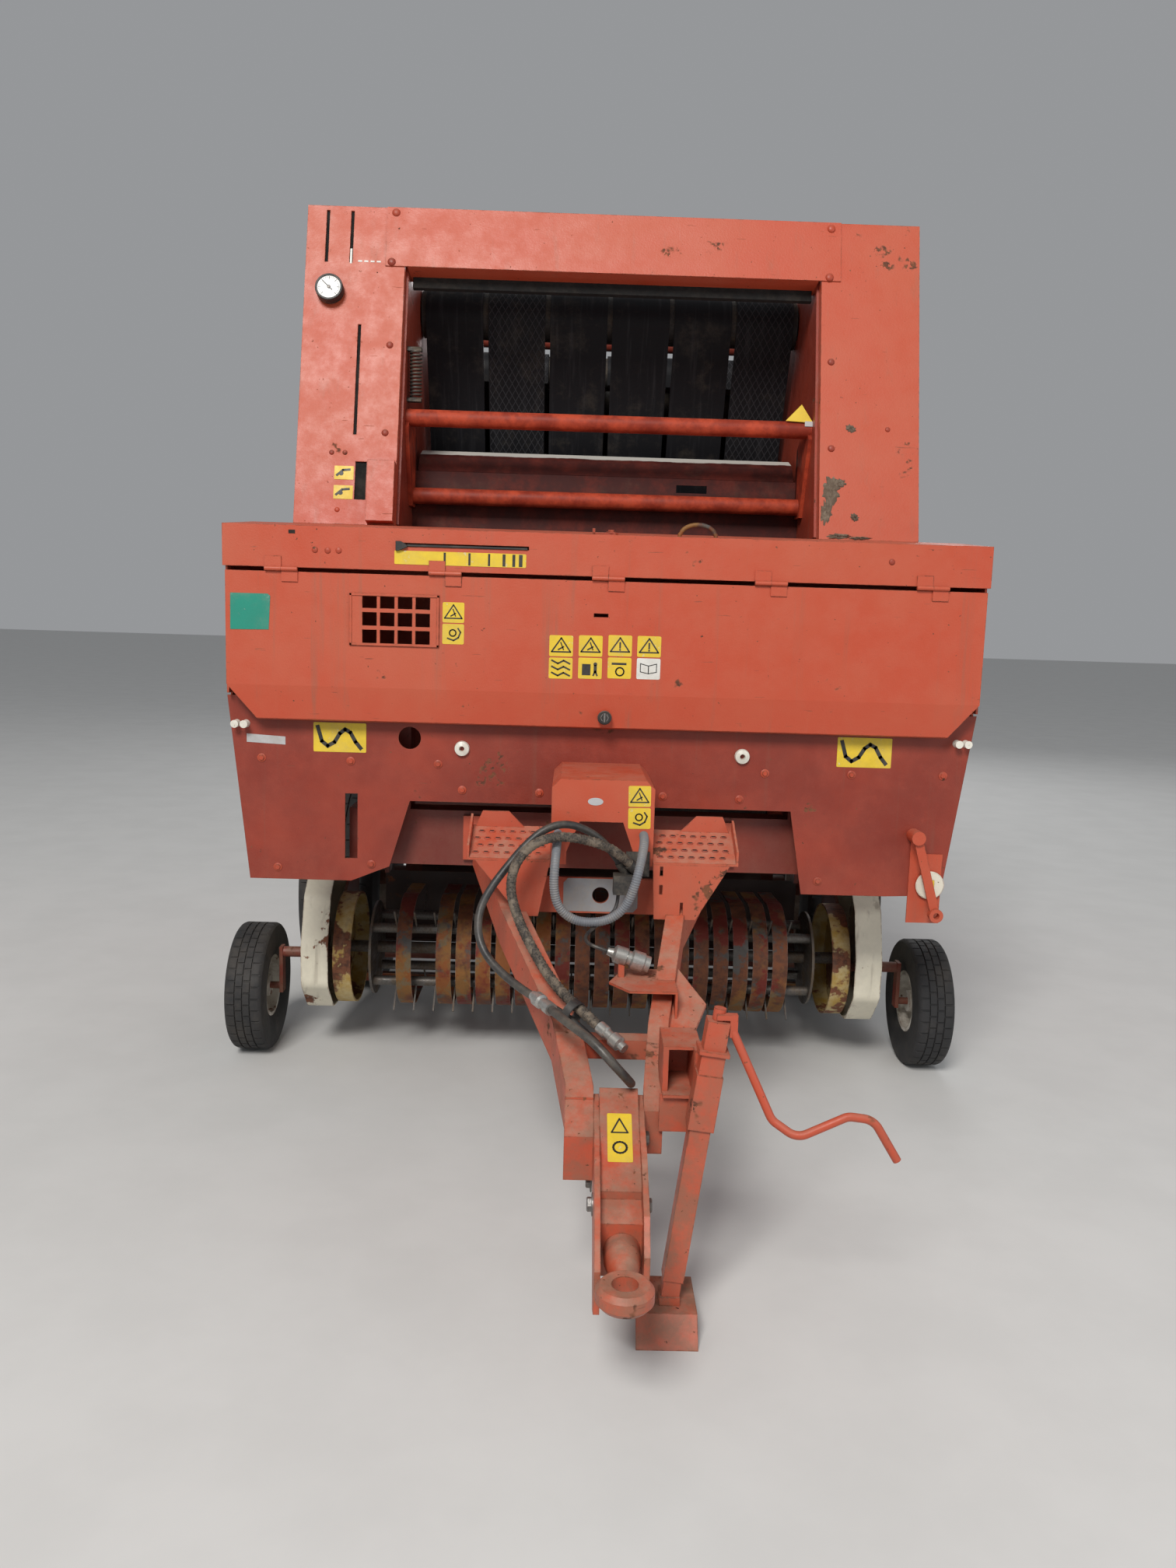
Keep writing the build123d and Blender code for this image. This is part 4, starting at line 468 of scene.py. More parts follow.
class Shape:
    """Collects faces for one piece, which rides on a body and takes its finishes from the materials given;
    the slot is kept but not used.
    """

    def __init__(self, name, slot, *materials, body="chassis"):
        self.name, self.body, self.slot, self.materials = name, body, slot, materials
        self.verts, self.faces, self.tones = [], [], []

    def add(self, verts, faces, tone=0):
        start = len(self.verts)
        self.verts += [tuple(v) for v in verts]
        self.faces += [tuple(start + i for i in f) for f in faces]
        self.tones += [tone] * len(faces)

    def sleeve(self, rings, tone=0):
        """Add a skin through rings of points, with flat ends."""
        count, last = len(rings[0]), (len(rings) - 1) * len(rings[0])
        faces = [tuple(reversed(range(count))), tuple(range(last, last + count))]
        for start in range(0, last, count):
            for i in range(count):
                a, b = start + i, start + (i + 1) % count
                faces.append((a, b, b + count, a + count))
        self.add([v for ring in rings for v in ring], faces, tone)

    def prism(self, outline, place, low, high, tone=0, bevel=0):
        """Add a flat form between two heights above a surface, with a chamfered rim."""
        outline = anticlockwise(outline)
        rings = [(outline, low)]
        rings += [(outline, high - bevel), (inset(outline, bevel), high)] if bevel else [(outline, high)]
        self.sleeve([[place @ Vector((x, y, z)) for x, y in ring] for ring, z in rings], tone)

    def box(self, sides, place, low, high, tone=0, bevel=0, corner=0):
        """Add a rectangle, given as x low, x high, y low and y high."""
        self.prism(box_outline(*sides, corner), place, low, high, tone, bevel)

    def disc(self, x, y, radius, count, *rest):
        self.prism(disc_outline(x, y, radius, count), *rest)

    def turned(self, profile, place, count=24, tone=0, closed=False):
        """Revolve a profile of radius and height about the Z of a placing matrix."""
        verts = [place @ Vector((r * c, r * s, z)) for c, s in spokes(count) for r, z in profile]
        size = len(profile)
        faces = wrapped(count, size, closed)
        if not closed:
            faces.append(tuple((count - 1 - i) * size for i in range(count)))
            faces.append(tuple(i * size + size - 1 for i in range(count)))
        self.add(verts, faces, tone)

    def stroke(self, points, width, place, low, high, tone=0):
        """Add a line of even width through points."""
        points = [Vector(p) for p in points]
        for a, b in zip(points, points[1:]):
            run = (b - a).normalized() * width / 2
            across, on = run.orthogonal(), run * 0.7
            corners = [a - across - on, b - across + on, b + across + on, a + across - on]
            self.prism(corners, place, low, high, tone)

    def loop(self, points, *rest):
        """Add a line that closes on itself."""
        self.stroke([*points, points[0]], *rest)

    def label(self, sides, place, corner, high=0.0008, tone=0):
        """Add a flat sticker, a little sunk into its surface."""
        self.box(sides, place, UNDER, high, tone, 0, corner)

    def bolt(self, place, radius):
        """Add a hexagon head on a washer."""
        self.turned([(radius * 1.55, -0.001), (radius * 1.55, 0.0018), (radius * 1.4, 0.0026)], place, 20)
        tilted = place @ Matrix.Rotation(math.radians(12), 4, "Z")
        self.disc(0, 0, radius, 6, tilted, 0.001, 0.001 + radius * 0.75, 0, radius * 0.14)

    def rivets(self, places, surface, radius, high, out=0):
        """Add a domed head at each place on a surface."""
        profile = [(radius * math.cos(a), high * math.sin(a) - 0.0005) for a in (0, 0.4, 0.8, 1.2)]
        for x, y in places:
            self.turned([(radius, -0.001), *profile], at(surface, x, y, out), 16)

    def tube(self, points, radius, count=10, tone=0):
        """Add a round bar that follows points."""
        points = [Vector(p) for p in points]
        ways = [(b - a).normalized() for a, b in zip(points, points[1:])]
        ways = [ways[0], *[(a + b).normalized() for a, b in zip(ways, ways[1:])], ways[-1]]
        side = ways[0].orthogonal().normalized()
        rings = []
        for point, way in zip(points, ways):
            side = (side - way * side.dot(way)).normalized()
            above = way.cross(side)
            rings.append([point + radius * (side * c + above * s) for c, s in spokes(count)])
        self.sleeve(rings, tone)

    def done(self, smooth=35):
        mesh = bpy.data.meshes.new(self.name)
        mesh.from_pydata(self.verts, [], self.faces)
        for material in self.materials:
            mesh.materials.append(material)
        mesh.polygons.foreach_set("material_index", self.tones)
        mesh.validate()
        mesh.shade_smooth()
        mesh.set_sharp_from_angle(angle=math.radians(smooth))
        piece = linked(self.name, mesh)
        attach(piece, self.body)
        return piece


# Surfaces that small pieces lie on, how far the beam stands out and how deep a sticker sinks in
FRONT = upright(0, -0.595, 0)
APRON = upright(0, -0.535, 0)
PORTAL = facing((0, -0.275, 1.758), (1, 0, 0), (0, 0.2205, 0.9753))
HOOD = upright(0, -0.895, 0)
BEAM_PROUD = 0.0043
UNDER = -0.0005


# Warning stickers: a triangle sign over a drawn sign, which differs by kind
def warning(name, body, surface, x, y, wide, high, kind, lean=0):
    """Add one two-part sticker, centred on a point of a surface."""
    place = at(surface, x, y) @ Matrix.Rotation(math.radians(lean), 4, "Z")
    sign = Shape(name, None, STICKER_YELLOW, STICKER_BLACK, STICKER_WHITE, body=body)
    half, gap = wide / 2, high * 0.015
    ink = (place, 0, 0.0011, 1)

    def line(points, width):
        """Draw a line through points given as shares of the sticker's width and height."""
        sign.stroke([(u * wide, v * high) for u, v in points], width * wide, *ink)

    sign.label((-half, half, gap, high / 2), place, 0.004, 0.0007)
    sign.label((-half, half, -high / 2, -gap), place, 0.004, 0.0007, 2 if kind == "book" else 0)
    line([(-0.4, 0.12), (0.4, 0.12), (0, 0.44), (-0.4, 0.12)], 0.06)
    if kind in ("key", "book"):
        line([(0, 0.33), (0, 0.21)], 0.07)
        sign.disc(0, 0.165 * high, 0.04 * wide, 10, *ink)
    else:
        line([(-0.12, 0.17), (0.1, 0.24)], 0.06)
        line([(-0.02, 0.34), (0.1, 0.17)], 0.05)
    if kind == "rollers":
        for v in (-0.36, -0.22, -0.08):
            line([(-0.38, v), (-0.12, v - 0.07), (0.12, v), (0.38, v - 0.07)], 0.07)
    elif kind == "machine":
        sign.box((-0.34 * wide, 0.02 * wide, -0.42 * high, -0.16 * high), *ink)
        sign.disc(0.22 * wide, -0.16 * high, 0.08 * wide, 12, *ink)
        line([(0.22, -0.2), (0.22, -0.34)], 0.13)
        for foot in (0.14, 0.3):
            line([(0.22, -0.32), (foot, -0.42)], 0.07)
    elif kind == "key":
        line([(-0.3, -0.16), (0.26, -0.16)], 0.09)
        sign.loop(disc_outline(0.02 * wide, -0.34 * high, 0.17 * wide, 16), 0.06 * wide, *ink)
    elif kind == "book":
        for side in (-1, 1):
            u = 0.34 * side
            line([(0, -0.37), (u, -0.33), (u, -0.14), (0, -0.19), (0, -0.37)], 0.035)
    elif kind == "hand":
        sign.loop(disc_outline(-0.02 * wide, -0.23 * high, 0.15 * wide, 14), 0.06 * wide, *ink)
        line([(0.22, -0.12), (0.34, -0.21), (0.24, -0.34), (0.02, -0.41), (-0.26, -0.36)], 0.07)
    sign.done()


DOOR_SIGNS = ((-0.1255, 1.391, "rollers"), (-0.0435, 1.393, "machine"), (0.0385, 1.396, "key"),
              (0.1195, 1.396, "book"))
for number, (x, y, kind) in enumerate(DOOR_SIGNS, 1):
    warning(f"door_sticker_{number}", "box_door", FRONT, x, y, 0.066, 0.12, kind)
warning("grille_sticker", "box_door", FRONT, -0.426, 1.475, 0.06, 0.115, "hand")
warning("hood_sticker", "chassis", HOOD, 0.091, 1.021, 0.058, 0.112, "hand", 1)

# Green patch and scale plate with ticks
patch = Shape("green_patch", None, STICKER_GREEN, body="box_door")
patch_outline = [(-1.042, 1.441), (-0.936, 1.443), (-0.931, 1.535), (-0.938, 1.541), (-1.041, 1.541)]
patch.prism(patch_outline, FRONT, UNDER, 0.0012, 0, 0.0003)
patch.done()
scale = Shape("density_scale", None, STICKER_YELLOW, STICKER_BLACK)
scale.label((-0.59, -0.228, 1.632, 1.669), FRONT, 0.003, 0.0012)
for x, half in ((-0.452, 0.003), (-0.384, 0.003), (-0.33, 0.003), (-0.289, 0.004), (-0.262, 0.004),
                (-0.243, 0.005)):
    scale.box((x - half, x + half, 1.634, 1.667), FRONT, 0.001, 0.0016, 1)
pointer = [(-0.586, 1.694), (-0.572, 1.694), (-0.555, 1.684), (-0.555, 1.678), (-0.578, 1.668),
           (-0.586, 1.668)]
scale.prism(pointer, FRONT, 0, 0.01, 1, 0.001)
scale.box((-0.555, -0.225, 1.681, 1.686), FRONT, 0, 0.004, 1)
scale.done()

# Thread signs at the apron's ends: a bold black wave on yellow
WAVE = [(0.08, 0.86), (0.16, 0.36), (0.27, 0.2), (0.4, 0.34), (0.5, 0.64), (0.6, 0.78), (0.7, 0.68),
        (0.8, 0.36), (0.9, 0.14)]
THREAD_SIGNS = (("left", -0.826, -0.676, 1.184, 1.1), ("right", 0.675, 0.832, 1.184, 1.098))
for name, left, right, top, bottom in THREAD_SIGNS:
    sign = Shape(f"thread_sign_{name}", None, STICKER_YELLOW, STICKER_BLACK)
    sign.label((left, right, bottom, top), APRON, 0.003)
    wide, tall = right - left, top - bottom
    sign.stroke([(left + u * wide, bottom + v * tall) for u, v in WAVE], 0.011, APRON, 0, 0.0013, 1)
    sign.done()
strip = Shape("pale_strip", None, STICKER_SILVER)
strip.prism([(-1.016, 1.122), (-0.906, 1.117), (-0.906, 1.14), (-1.016, 1.146)], APRON, UNDER, 0.0008)
strip.done()

# Bolts and rivets on the portal, the header, the apron and the hood
studs = Shape("portal_studs", "red_paint", RED_BOLT)
studs.rivets(((-0.672, 0.98), (0.668, 0.977), (0.664, 0.821), (-0.68, 0.822)), PORTAL, 0.013, 0.008,
             BEAM_PROUD)
studs.rivets(((-0.676, 0.561), (-0.679, 0.286), (0.672, 0.554), (0.675, 0.282), (-0.693, 0.118),
              (-0.693, 0.04)), PORTAL, 0.011, 0.007)
studs.rivets(((-0.837, 0.22), (-0.797, 0.221), (-0.813, 0.044), (0.847, 0.347)), PORTAL, 0.008, 0.005)
studs.done()
studs = Shape("header_studs", "red_paint", RED_BOLT, HOLE_PAINTED_SHADE)
studs.rivets(((-0.808, 1.664), (-0.773, 1.663), (-0.743, 1.664), (0.782, 1.679)), FRONT, 0.009, 0.005)
# A black mark as painted shade in a hole of the header
studs.box((-0.88, -0.862, 1.706, 1.716), FRONT, 0, 0.0006, 1)
studs.done()
studs = Shape("apron_studs", "red_paint", RED_BOLT)
for x, y in ((-0.974, 1.078), (-0.72, 1.075), (-0.47, 1.073), (-0.178, 0.998), (0.178, 0.998),
             (0.47, 1.073), (0.72, 1.076), (0.985, 1.08), (-0.93, 0.76), (-0.66, 0.775), (0.64, 0.76),
             (0.93, 0.76), (-0.4, 1), (0.4, 0.995)):
    studs.bolt(at(APRON, x, y), 0.008)
studs.done()
studs = Shape("hood_studs", "red_paint", RED_BOLT, STICKER_SILVER)
studs.rivets(((-0.118, 0.885), (0.112, 0.885)), HOOD, 0.008, 0.005)
oval = [(-0.02 * math.cos(0.3 * i) - 0.023, 0.01 * math.sin(0.3 * i) + 1.033) for i in range(21)]
studs.prism(oval, HOOD, UNDER, 0.0008, 1)
studs.done()

# Yellow tabs in the left post's window and small white marks above it
tabs = Shape("post_tabs", None, STICKER_YELLOW, STICKER_BLACK, STICKER_WHITE)
for y in (0.158, 0.098):
    tabs.label((-0.826, -0.768, y - 0.021, y + 0.021), PORTAL, 0.002, 0.0012)
    tabs.stroke([(-0.818, y - 0.008), (-0.8, y + 0.008), (-0.78, y + 0.01)], 0.007, PORTAL, 0, 0.0018, 1)
    tabs.disc(-0.805, y - 0.002, 0.007, 10, PORTAL, 0, 0.0019, 1)
for x in (-0.776, -0.757, -0.738, -0.719):
    tabs.label((x - 0.007, x + 0.005, 0.821, 0.826), PORTAL, 0, tone=2)
tabs.label((-0.808, -0.802, 0.815, 0.862), PORTAL, 0, tone=2)
tabs.done()

# Gauge dial with ticks and a needle
dial = Shape("gauge_dial", None, DIAL, STICKER_BLACK, BOLT_STEEL)
dial_place = at(PORTAL, -0.862, 0.7229, 0.0303)
dial.disc(0, 0, 0.0352, 40, dial_place, -0.001, 0.0008)
for step in range(25):
    angle = math.radians(225 - 270 * step / 24)
    inner, width = (0.029, 0.0009) if step % 4 else (0.025, 0.0016)
    tick = [(reach * math.cos(angle), reach * math.sin(angle)) for reach in (inner, 0.032)]
    dial.stroke(tick, width, dial_place, 0, 0.0012, 1)
dial.stroke([(0.01, -0.009), (-0.019, 0.018)], 0.0022, dial_place, 0.0008, 0.0022, 1)
dial.turned([(0.005, 0.0008), (0.005, 0.003), (0.003, 0.0038)], dial_place, 16, 2)
rim = [(0.0355, 0), (0.0355, 0.0036), (0.0375, 0.0042), (0.0405, 0.0036), (0.042, 0.001), (0.042, 0)]
dial.turned(rim, dial_place, 48, 1, closed=True)
dial.done()

# Mud thrown on the right post and along its foot: place on the portal, half width and half height
CLODS = ((0.734, 0.346, 0.02, 0.016), (0.676, 0.15, 0.038, 0.052), (0.662, 0.085, 0.022, 0.052),
         (0.7, 0.175, 0.024, 0.02), (0.748, 0.07, 0.017, 0.015), (0.7, 0.01, 0.052, 0.01),
         (0.765, 0.006, 0.04, 0.007))


def clod(shape, place, half_wide, half_high, seed, rings=5, count=28):
    """Add a ragged low lump of dried mud."""
    verts, faces = [place @ Vector((0, 0, 0.007))], []
    for ring in range(1, rings + 1):
        share = ring / rings
        for k in range(count):
            angle = 2 * math.pi * k / count
            ragged = 0.78 + 0.22 * math.sin(3 * angle + seed) * math.cos(5 * angle + 2 * seed)
            ragged += 0.1 * math.sin(11 * angle + 3 * seed)
            lump = 0.5 + 0.5 * math.sin(7 * angle + 5 * share + seed) * math.cos(9 * share + 2 * angle)
            high = -0.0008 if ring == rings else (1 - share) * 0.004 + 0.0045 * lump
            x, y = half_wide * math.cos(angle), half_high * math.sin(angle)
            verts.append(place @ Vector((share * ragged * x, share * ragged * y, high)))
    for k in range(count):
        n = (k + 1) % count
        faces.append((0, 1 + k, 1 + n))
        for start in range(1, 1 + (rings - 1) * count, count):
            a, b = start + k, start + n
            faces.append((a, a + count, b + count, b))
    faces.append(tuple(reversed(range(1 + (rings - 1) * count, 1 + rings * count))))
    shape.add(verts, faces)


# Linings behind the slots of the left post, black in front as painted shade in the slots, and the lip behind
# the beam, black as painted shade in the gap there
lining = Shape("post_linings", None, HOLE_PAINTED_SHADE, MATERIALS["red_dark"])
post_back = at(PORTAL, 0, 0, -0.0062)
for sides in ((-0.897, -0.79, 0.806, 0.99), (-0.786, -0.722, 0.066, 0.64)):
    lining.box(sides, post_back, -0.002, 0, 0, 0.0005)
    lining.box(sides, post_back, -0.0035, -0.0018, 1)
lining.done()
lip = Shape("beam_lip", None, HOLE_PAINTED_SHADE)
beam_back = at(PORTAL, 0, 0, -0.06)
lip.box((-0.622, 0.622, 0.776, 0.8135), beam_back, -0.003, 0, 0, 0.0008)
lip.box((-0.622, 0.622, 0.776, 0.779), beam_back, -0.018, -0.003)
lip.done()
mud = Shape("post_mud", None, DRIED_MUD)
for seed, (x, y, half_wide, half_high) in enumerate(CLODS):
    clod(mud, at(PORTAL, x, y), half_wide, half_high, 1.7 * seed)
mud.done(60)

# Rim of the door's grille, and the knob's face with its slot
trim = Shape("grille_rim", "red_paint", MATERIALS["red_door"], body="box_door")
left, right, low, high = -0.713, -0.465, 1.407, 1.55
for sides in ((left, right, high - 0.007, high), (left, right, low, low + 0.007),
              (left, left + 0.007, low, high), (right - 0.007, right, low, high)):
    trim.box(sides, FRONT, 0.002, 0.0055, 0, 0.001)
trim.done()
knob = Shape("door_knob_face", "black_plastic", STICKER_BLACK, BOLT_STEEL, body="box_door")
knob_place = upright(0.001, -0.607, 1.226)
knob_profile = [(0.0195, -0.001), (0.0195, 0.003), (0.017, 0.0045), (0.0165, 0.002), (0, 0.002)]
knob.turned(knob_profile, knob_place, 32)
knob.box((-0.0025, 0.0025, -0.013, 0.013), knob_place, 0.001, 0.004, 1, 0.0005)
for x in (-0.006, 0.006):
    knob.stroke([(x, -0.009), (x * 11 / 6, 0), (x, 0.009)], 0.002, knob_place, 0.001, 0.0035, 1)
knob.done()


# Latch and grip on the twine box's deck
def deck_z(y):
    """The deck's height, which rises towards the portal."""
    return 1.729 + (1.758 - 1.729) * (y + 0.595) / (0.595 - 0.275)


latch = Shape("deck_latch", "red_paint", RED_BOLT)
latch_place = facing((0, -0.578, deck_z(-0.578)), (1, 0, 0), (0, 0.996, 0.09))
handle = [(-0.045, -0.012), (0.016, -0.012), (0.024, 0), (0.016, 0.012), (-0.01, 0.01), (-0.045, 0.004)]
latch.prism(handle, latch_place, -0.001, 0.005, 0, 0.001)
latch.bolt(at(latch_place, 0.004, 0, 0.005), 0.009)
latch.box((-0.048, -0.04, -0.012, 0.004), latch_place, -0.001, 0.016, 0, 0.001)
latch.done()
grip = Shape("deck_grip", "red_paint", MATERIALS["bands"])
GRIP_Y, GRIP_LEFT, GRIP_RIGHT = -0.56, 0.195, 0.296
foot = deck_z(GRIP_Y)
arch = (math.radians(172 - 164 * k / 12) for k in range(13))
bow = [(0.2455 + 0.048 * math.cos(a), GRIP_Y, foot + 0.004 + 0.048 * 0.62 * math.sin(a)) for a in arch]
grip.tube([(GRIP_LEFT, GRIP_Y, foot - 0.004), (GRIP_LEFT, GRIP_Y, foot + 0.006), *bow,
           (GRIP_RIGHT, GRIP_Y, foot + 0.006), (GRIP_RIGHT, GRIP_Y, foot - 0.004)], 0.006)
grip.done(60)

# Window's inside: tag and plate at the right, spring at the left
tag = Shape("window_tag", None, STICKER_YELLOW, STICKER_BLACK, STICKER_SILVER)
tag_place = facing((0.588, -0.118, 2.122), (1, 0, 0), (0, 0.2205, 0.9753))
tag.prism([(-0.04, 0.004), (0.046, 0), (0.01, 0.058)], tag_place, -0.0015, 0.0015, 0, 0.0005)
tag.box((0.02, 0.053, -0.012, 0.004), tag_place, -0.002, 0.002, 2)
tag.done()
spring = Shape("belt_spring", "dark_steel", MATERIALS["dark_steel"])
TURNS, TURN_STEPS, SPRING_LOW, SPRING_HIGH = 13, 14, 2.165, 2.305
coil = []
for k in range(TURNS * TURN_STEPS + 1):
    angle = 2 * math.pi * k / TURN_STEPS
    z = SPRING_LOW + (SPRING_HIGH - SPRING_LOW) * k / (TURNS * TURN_STEPS)
    coil.append((-0.606 + 0.017 * math.cos(angle), -0.075 + 0.017 * math.sin(angle), z))
spring.tube(coil, 0.0032, 6)
for z in (SPRING_LOW - 0.006, SPRING_HIGH + 0.006):
    seat = facing((0, 0, z), (1, 0, 0), (0, 1, 0))
    spring.box((-0.641, -0.588, -0.088, -0.062), seat, -0.006, 0.006, 0, 0.001)
spring.done(60)

# Steps: rows of raised grips on both treads
grips = Shape("step_grips", "dark_red_paint", RED_BOLT, HOLE_PAINTED_SHADE)
tread_up = Vector((0, 0.12, 0.065)).normalized()
for x_first in (-0.33, 0.15):
    for column in range(7):
        for row in range(4):
            x = x_first + column * 0.027 + (0.01 if row % 2 else 0)
            place = facing(Vector((x, -0.91, 0.881)) + tread_up * (0.022 + 0.029 * row), (1, 0, 0), tread_up)
            grips.box((-0.0085, 0.0085, -0.0045, 0.0045), place, -0.001, 0.0028, 0, 0.0016, 0.004)
            # The grips' small black centres are painted shade in their holes
            grips.box((-0.0055, 0.0055, -0.0018, 0.0018), place, 0.002, 0.0031, 1, 0, 0.0016)
grips.done()

# Keyhole plate's grey face: a rectangle with a round hole
plate = Shape("keyhole_face", None, GREY_PLASTIC)
plate_place = upright(0, -0.804, 0.765)
HALF_WIDE, HALF_HIGH, HOLE = 0.1, 0.045, 0.0225
PLATE_STEPS = 40
verts = []
for c, s in spokes(PLATE_STEPS):
    far = min(HALF_WIDE / max(abs(c), 1e-6), HALF_HIGH / max(abs(s), 1e-6))
    column = ((HOLE, -0.0003), (far, -0.0003), (far, 0.0012), (HOLE, 0.0012))
    verts += [plate_place @ Vector((r * c, r * s, z)) for r, z in column]
plate.add(verts, wrapped(PLATE_STEPS, 4, True))
plate.done()

# Crop pan behind the pickup: a curved sheet under the chamber's throat, with ribs and a rolled lip,
# near-black as painted shade behind the pickup's bands
SHELF = [(0.56, 0.594), (0.47, 0.588), (0.425, 0.576), (0.404, 0.552)]
SHEET = [(0.404, 0.552), (0.405, 0.5), (0.411, 0.44), (0.406, 0.38), (0.39, 0.33), (0.368, 0.3)]
ACROSS = outward(1, 0, 0, 0)
pan = Shape("crop_pan", "dark_steel", MATERIALS["pan"])
for line, half, under in ((SHELF, 0.6315, 0.004), (SHEET, 0.765, 0)):
    pan.prism([*line, *((y + 0.004, z - under) for y, z in reversed(line))], ACROSS, -half, half)
pan.tube([(-0.765, 0.3685, 0.2995), (0.765, 0.3685, 0.2995)], 0.006)
rib = [*((y + 0.003, z) for y, z in SHEET[:-1]), *((y + 0.016, z) for y, z in reversed(SHEET[:-1]))]
for x in (-0.62, -0.37, -0.12, 0.12, 0.37, 0.62):
    pan.prism(rib, ACROSS, x - 0.002, x + 0.002)
pan.done()

# Hitch: sticker on the carrier and bolts through the clevis
CARRIER = facing((0.034, -1.5715, 0.4331), (1, 0, 0), (0, 0.8952, 0.4457))
sign = Shape("hitch_sticker", None, STICKER_YELLOW, STICKER_BLACK)
sign.label((-0.026, 0.026, -0.062, 0.062), CARRIER, 0.003)
sign.loop([(-0.017, 0.012), (0.017, 0.012), (0, 0.048)], 0.0035, CARRIER, 0, 0.0013, 1)
sign.loop(disc_outline(0, -0.026, 0.014, 16), 0.0045, CARRIER, 0, 0.0013, 1)
sign.done()
pins = Shape("hitch_bolts", "bare_steel", BOLT_STEEL)
for side, x in ((-1, -0.0205), (1, 0.0885)):
    for y, z in ((-1.5, 0.4), (-1.5, 0.3), (-1.64, 0.32)):
        pins.bolt(outward(side, x, y, z), 0.015)
pins.done()

# Feed crank: pale face on its disc with a yellow mark
cap = Shape("feed_disc_face", "cream_paint", MATERIALS["cream"], STICKER_YELLOW)
cap_place = upright(0.965, -0.549, 0.76)
cap.turned([(0.0415, -0.006), (0.0415, 0.001), (0.039, 0.003), (0, 0.003)], cap_place, 40)
cap.box((-0.014, 0.012, -0.006, 0.016), cap_place, 0.002, 0.0036, 1, 0, 0.003)
cap.done()

# Latches of the side covers
SIDES = (("left", -1), ("right", 1))
SIDE_X = 0.943
for name, side in SIDES:
    handle = Shape(f"cover_latch_{name}", "dark_steel", MATERIALS["dark_steel"], body=f"door_{name}")
    for z in (1.1, 1.55):
        place = outward(side, side * SIDE_X, 0.52, z)
        handle.box((-0.016, 0.016, -0.045, 0.045), place, -0.001, 0.004, 0, 0.001, 0.008)
        handle.box((-0.006, 0.006, -0.05, 0.028), place, 0.003, 0.016, 0, 0.002, 0.005)
        handle.bolt(at(place, 0, 0.034, 0.004), 0.007)
    handle.done()

# Places along one pitch of the tread, with the ribs cut there: -1 none, 0 the even ones, 1 the odd ones
CUTS = ((0, -1), (0.03, 0), (0.12, 0), (0.15, -1), (0.5, -1), (0.53, 1), (0.62, 1), (0.65, -1))


def tyre(name, body, x, y, radius, wide, rim, crown, ribs, pitches, deep):
    """Model one tyre on the section of its plain solid, with grooves and cut ribs."""
    tread, groove = wide * 0.72, wide * 0.036
    rib = (tread - groove * (ribs - 1)) / ribs
    flank = [(rim, 0.38), (rim + (0.72 * radius - rim) * 0.45, 0.455), (radius * 0.72, 0.5),
             (radius * 0.84, 0.492), (radius - crown, 0.46), (radius - crown * 0.35, 0.42)]
    section = [(r, -a * wide, None) for r, a in flank]
    for k in range(ribs):
        start = -tread / 2 + k * (rib + groove)
        end = start + rib
        section += [(radius, start, k), (radius, end, k)]
        if k < ribs - 1:
            section += [(radius - deep, end + groove * share, None) for share in (0.25, 0.75)]
    section += [(r, a * wide, None) for r, a in reversed(flank)]
    verts = []
    for pitch in range(pitches):
        for share, cut_ribs in CUTS:
            angle = 2 * math.pi * (pitch + share) / pitches
            for r, a, number in section:
                if number is not None and cut_ribs == number % 2:
                    r -= deep * 0.8
                verts.append((x + a, y + r * math.cos(angle), radius + r * math.sin(angle)))
    model = Shape(name, "tyre_rubber", MATERIALS["tyre"], body=body)
    model.add(verts, wrapped(pitches * len(CUTS), len(section), True))
    return model.done(28)


# Tyres and the nuts on their discs: tyre's figures, then the nuts' circle and number and the hub's radius
WHEELS = (("main", 0.96, 0.85, (0.425, 0.3, 0.205, 0.018, 5, 40, 0.009), 0.1, 6, 0.055),
          ("gauge", 1.144, 0.05, (0.215, 0.13, 0.105, 0.01, 4, 34, 0.005), 0.062, 4, 0.037))
for kind, x, y, figures, nut_circle, nut_count, hub in WHEELS:
    radius = figures[0]
    for name, side in SIDES:
        body = f"{kind}_wheel_{name}"
        model = tyre(f"{kind}_tyre_model_{name}", body, side * x, y, *figures)
        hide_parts(f"{kind}_tyre_{name}")
        nuts = Shape(f"{kind}_nuts_{name}", "bare_steel", BOLT_STEEL, body=body)
        for c, s in spokes(nut_count):
            nuts.bolt(outward(side, side * (x + 0.015), y + nut_circle * c, radius + nut_circle * s), 0.011)
        cap_profile = [(hub * 0.75, -0.002), (hub * 0.75, 0.004), (hub * 0.5, 0.011), (0, 0.013)]
        nuts.turned(cap_profile, outward(side, side * (x + 0.045), y, radius), 28)
        nuts.done()


def metres(*places):
    """A route whose control points are given in millimetres."""
    return [tuple(round(v / 1000, 4) for v in place) for place in places]


BLACK_ROUTE = metres(
    (42, -914, 880), (12, -926, 925), (-41, -944, 968), (-99, -956, 986), (-151, -970, 972),
    (-196, -985, 934), (-238, -1000, 884), (-277, -1020, 833), (-306, -1042, 780), (-308, -1068, 722),
    (-284, -1100, 676), (-238, -1140, 642), (-189, -1185, 620), (-135, -1240, 606), (-83, -1285, 592),
    (-18, -1336, 552), (44, -1386, 498), (64, -1442, 495), (53, -1493, 525), (16, -1509, 570),
    (-25, -1479, 605), (-78, -1418, 622), (-118, -1352, 630))
WORN_ROUTE = metres(
    (68, -930, 880), (32, -950, 916), (-18, -972, 940), (-78, -988, 956), (-136, -1003, 958),
    (-188, -1014, 934), (-222, -1024, 890), (-232, -1038, 835), (-217, -1058, 781), (-192, -1092, 735),
    (-164, -1130, 696), (-134, -1178, 662), (-98, -1232, 634), (-56, -1284, 612), (-8, -1332, 586))
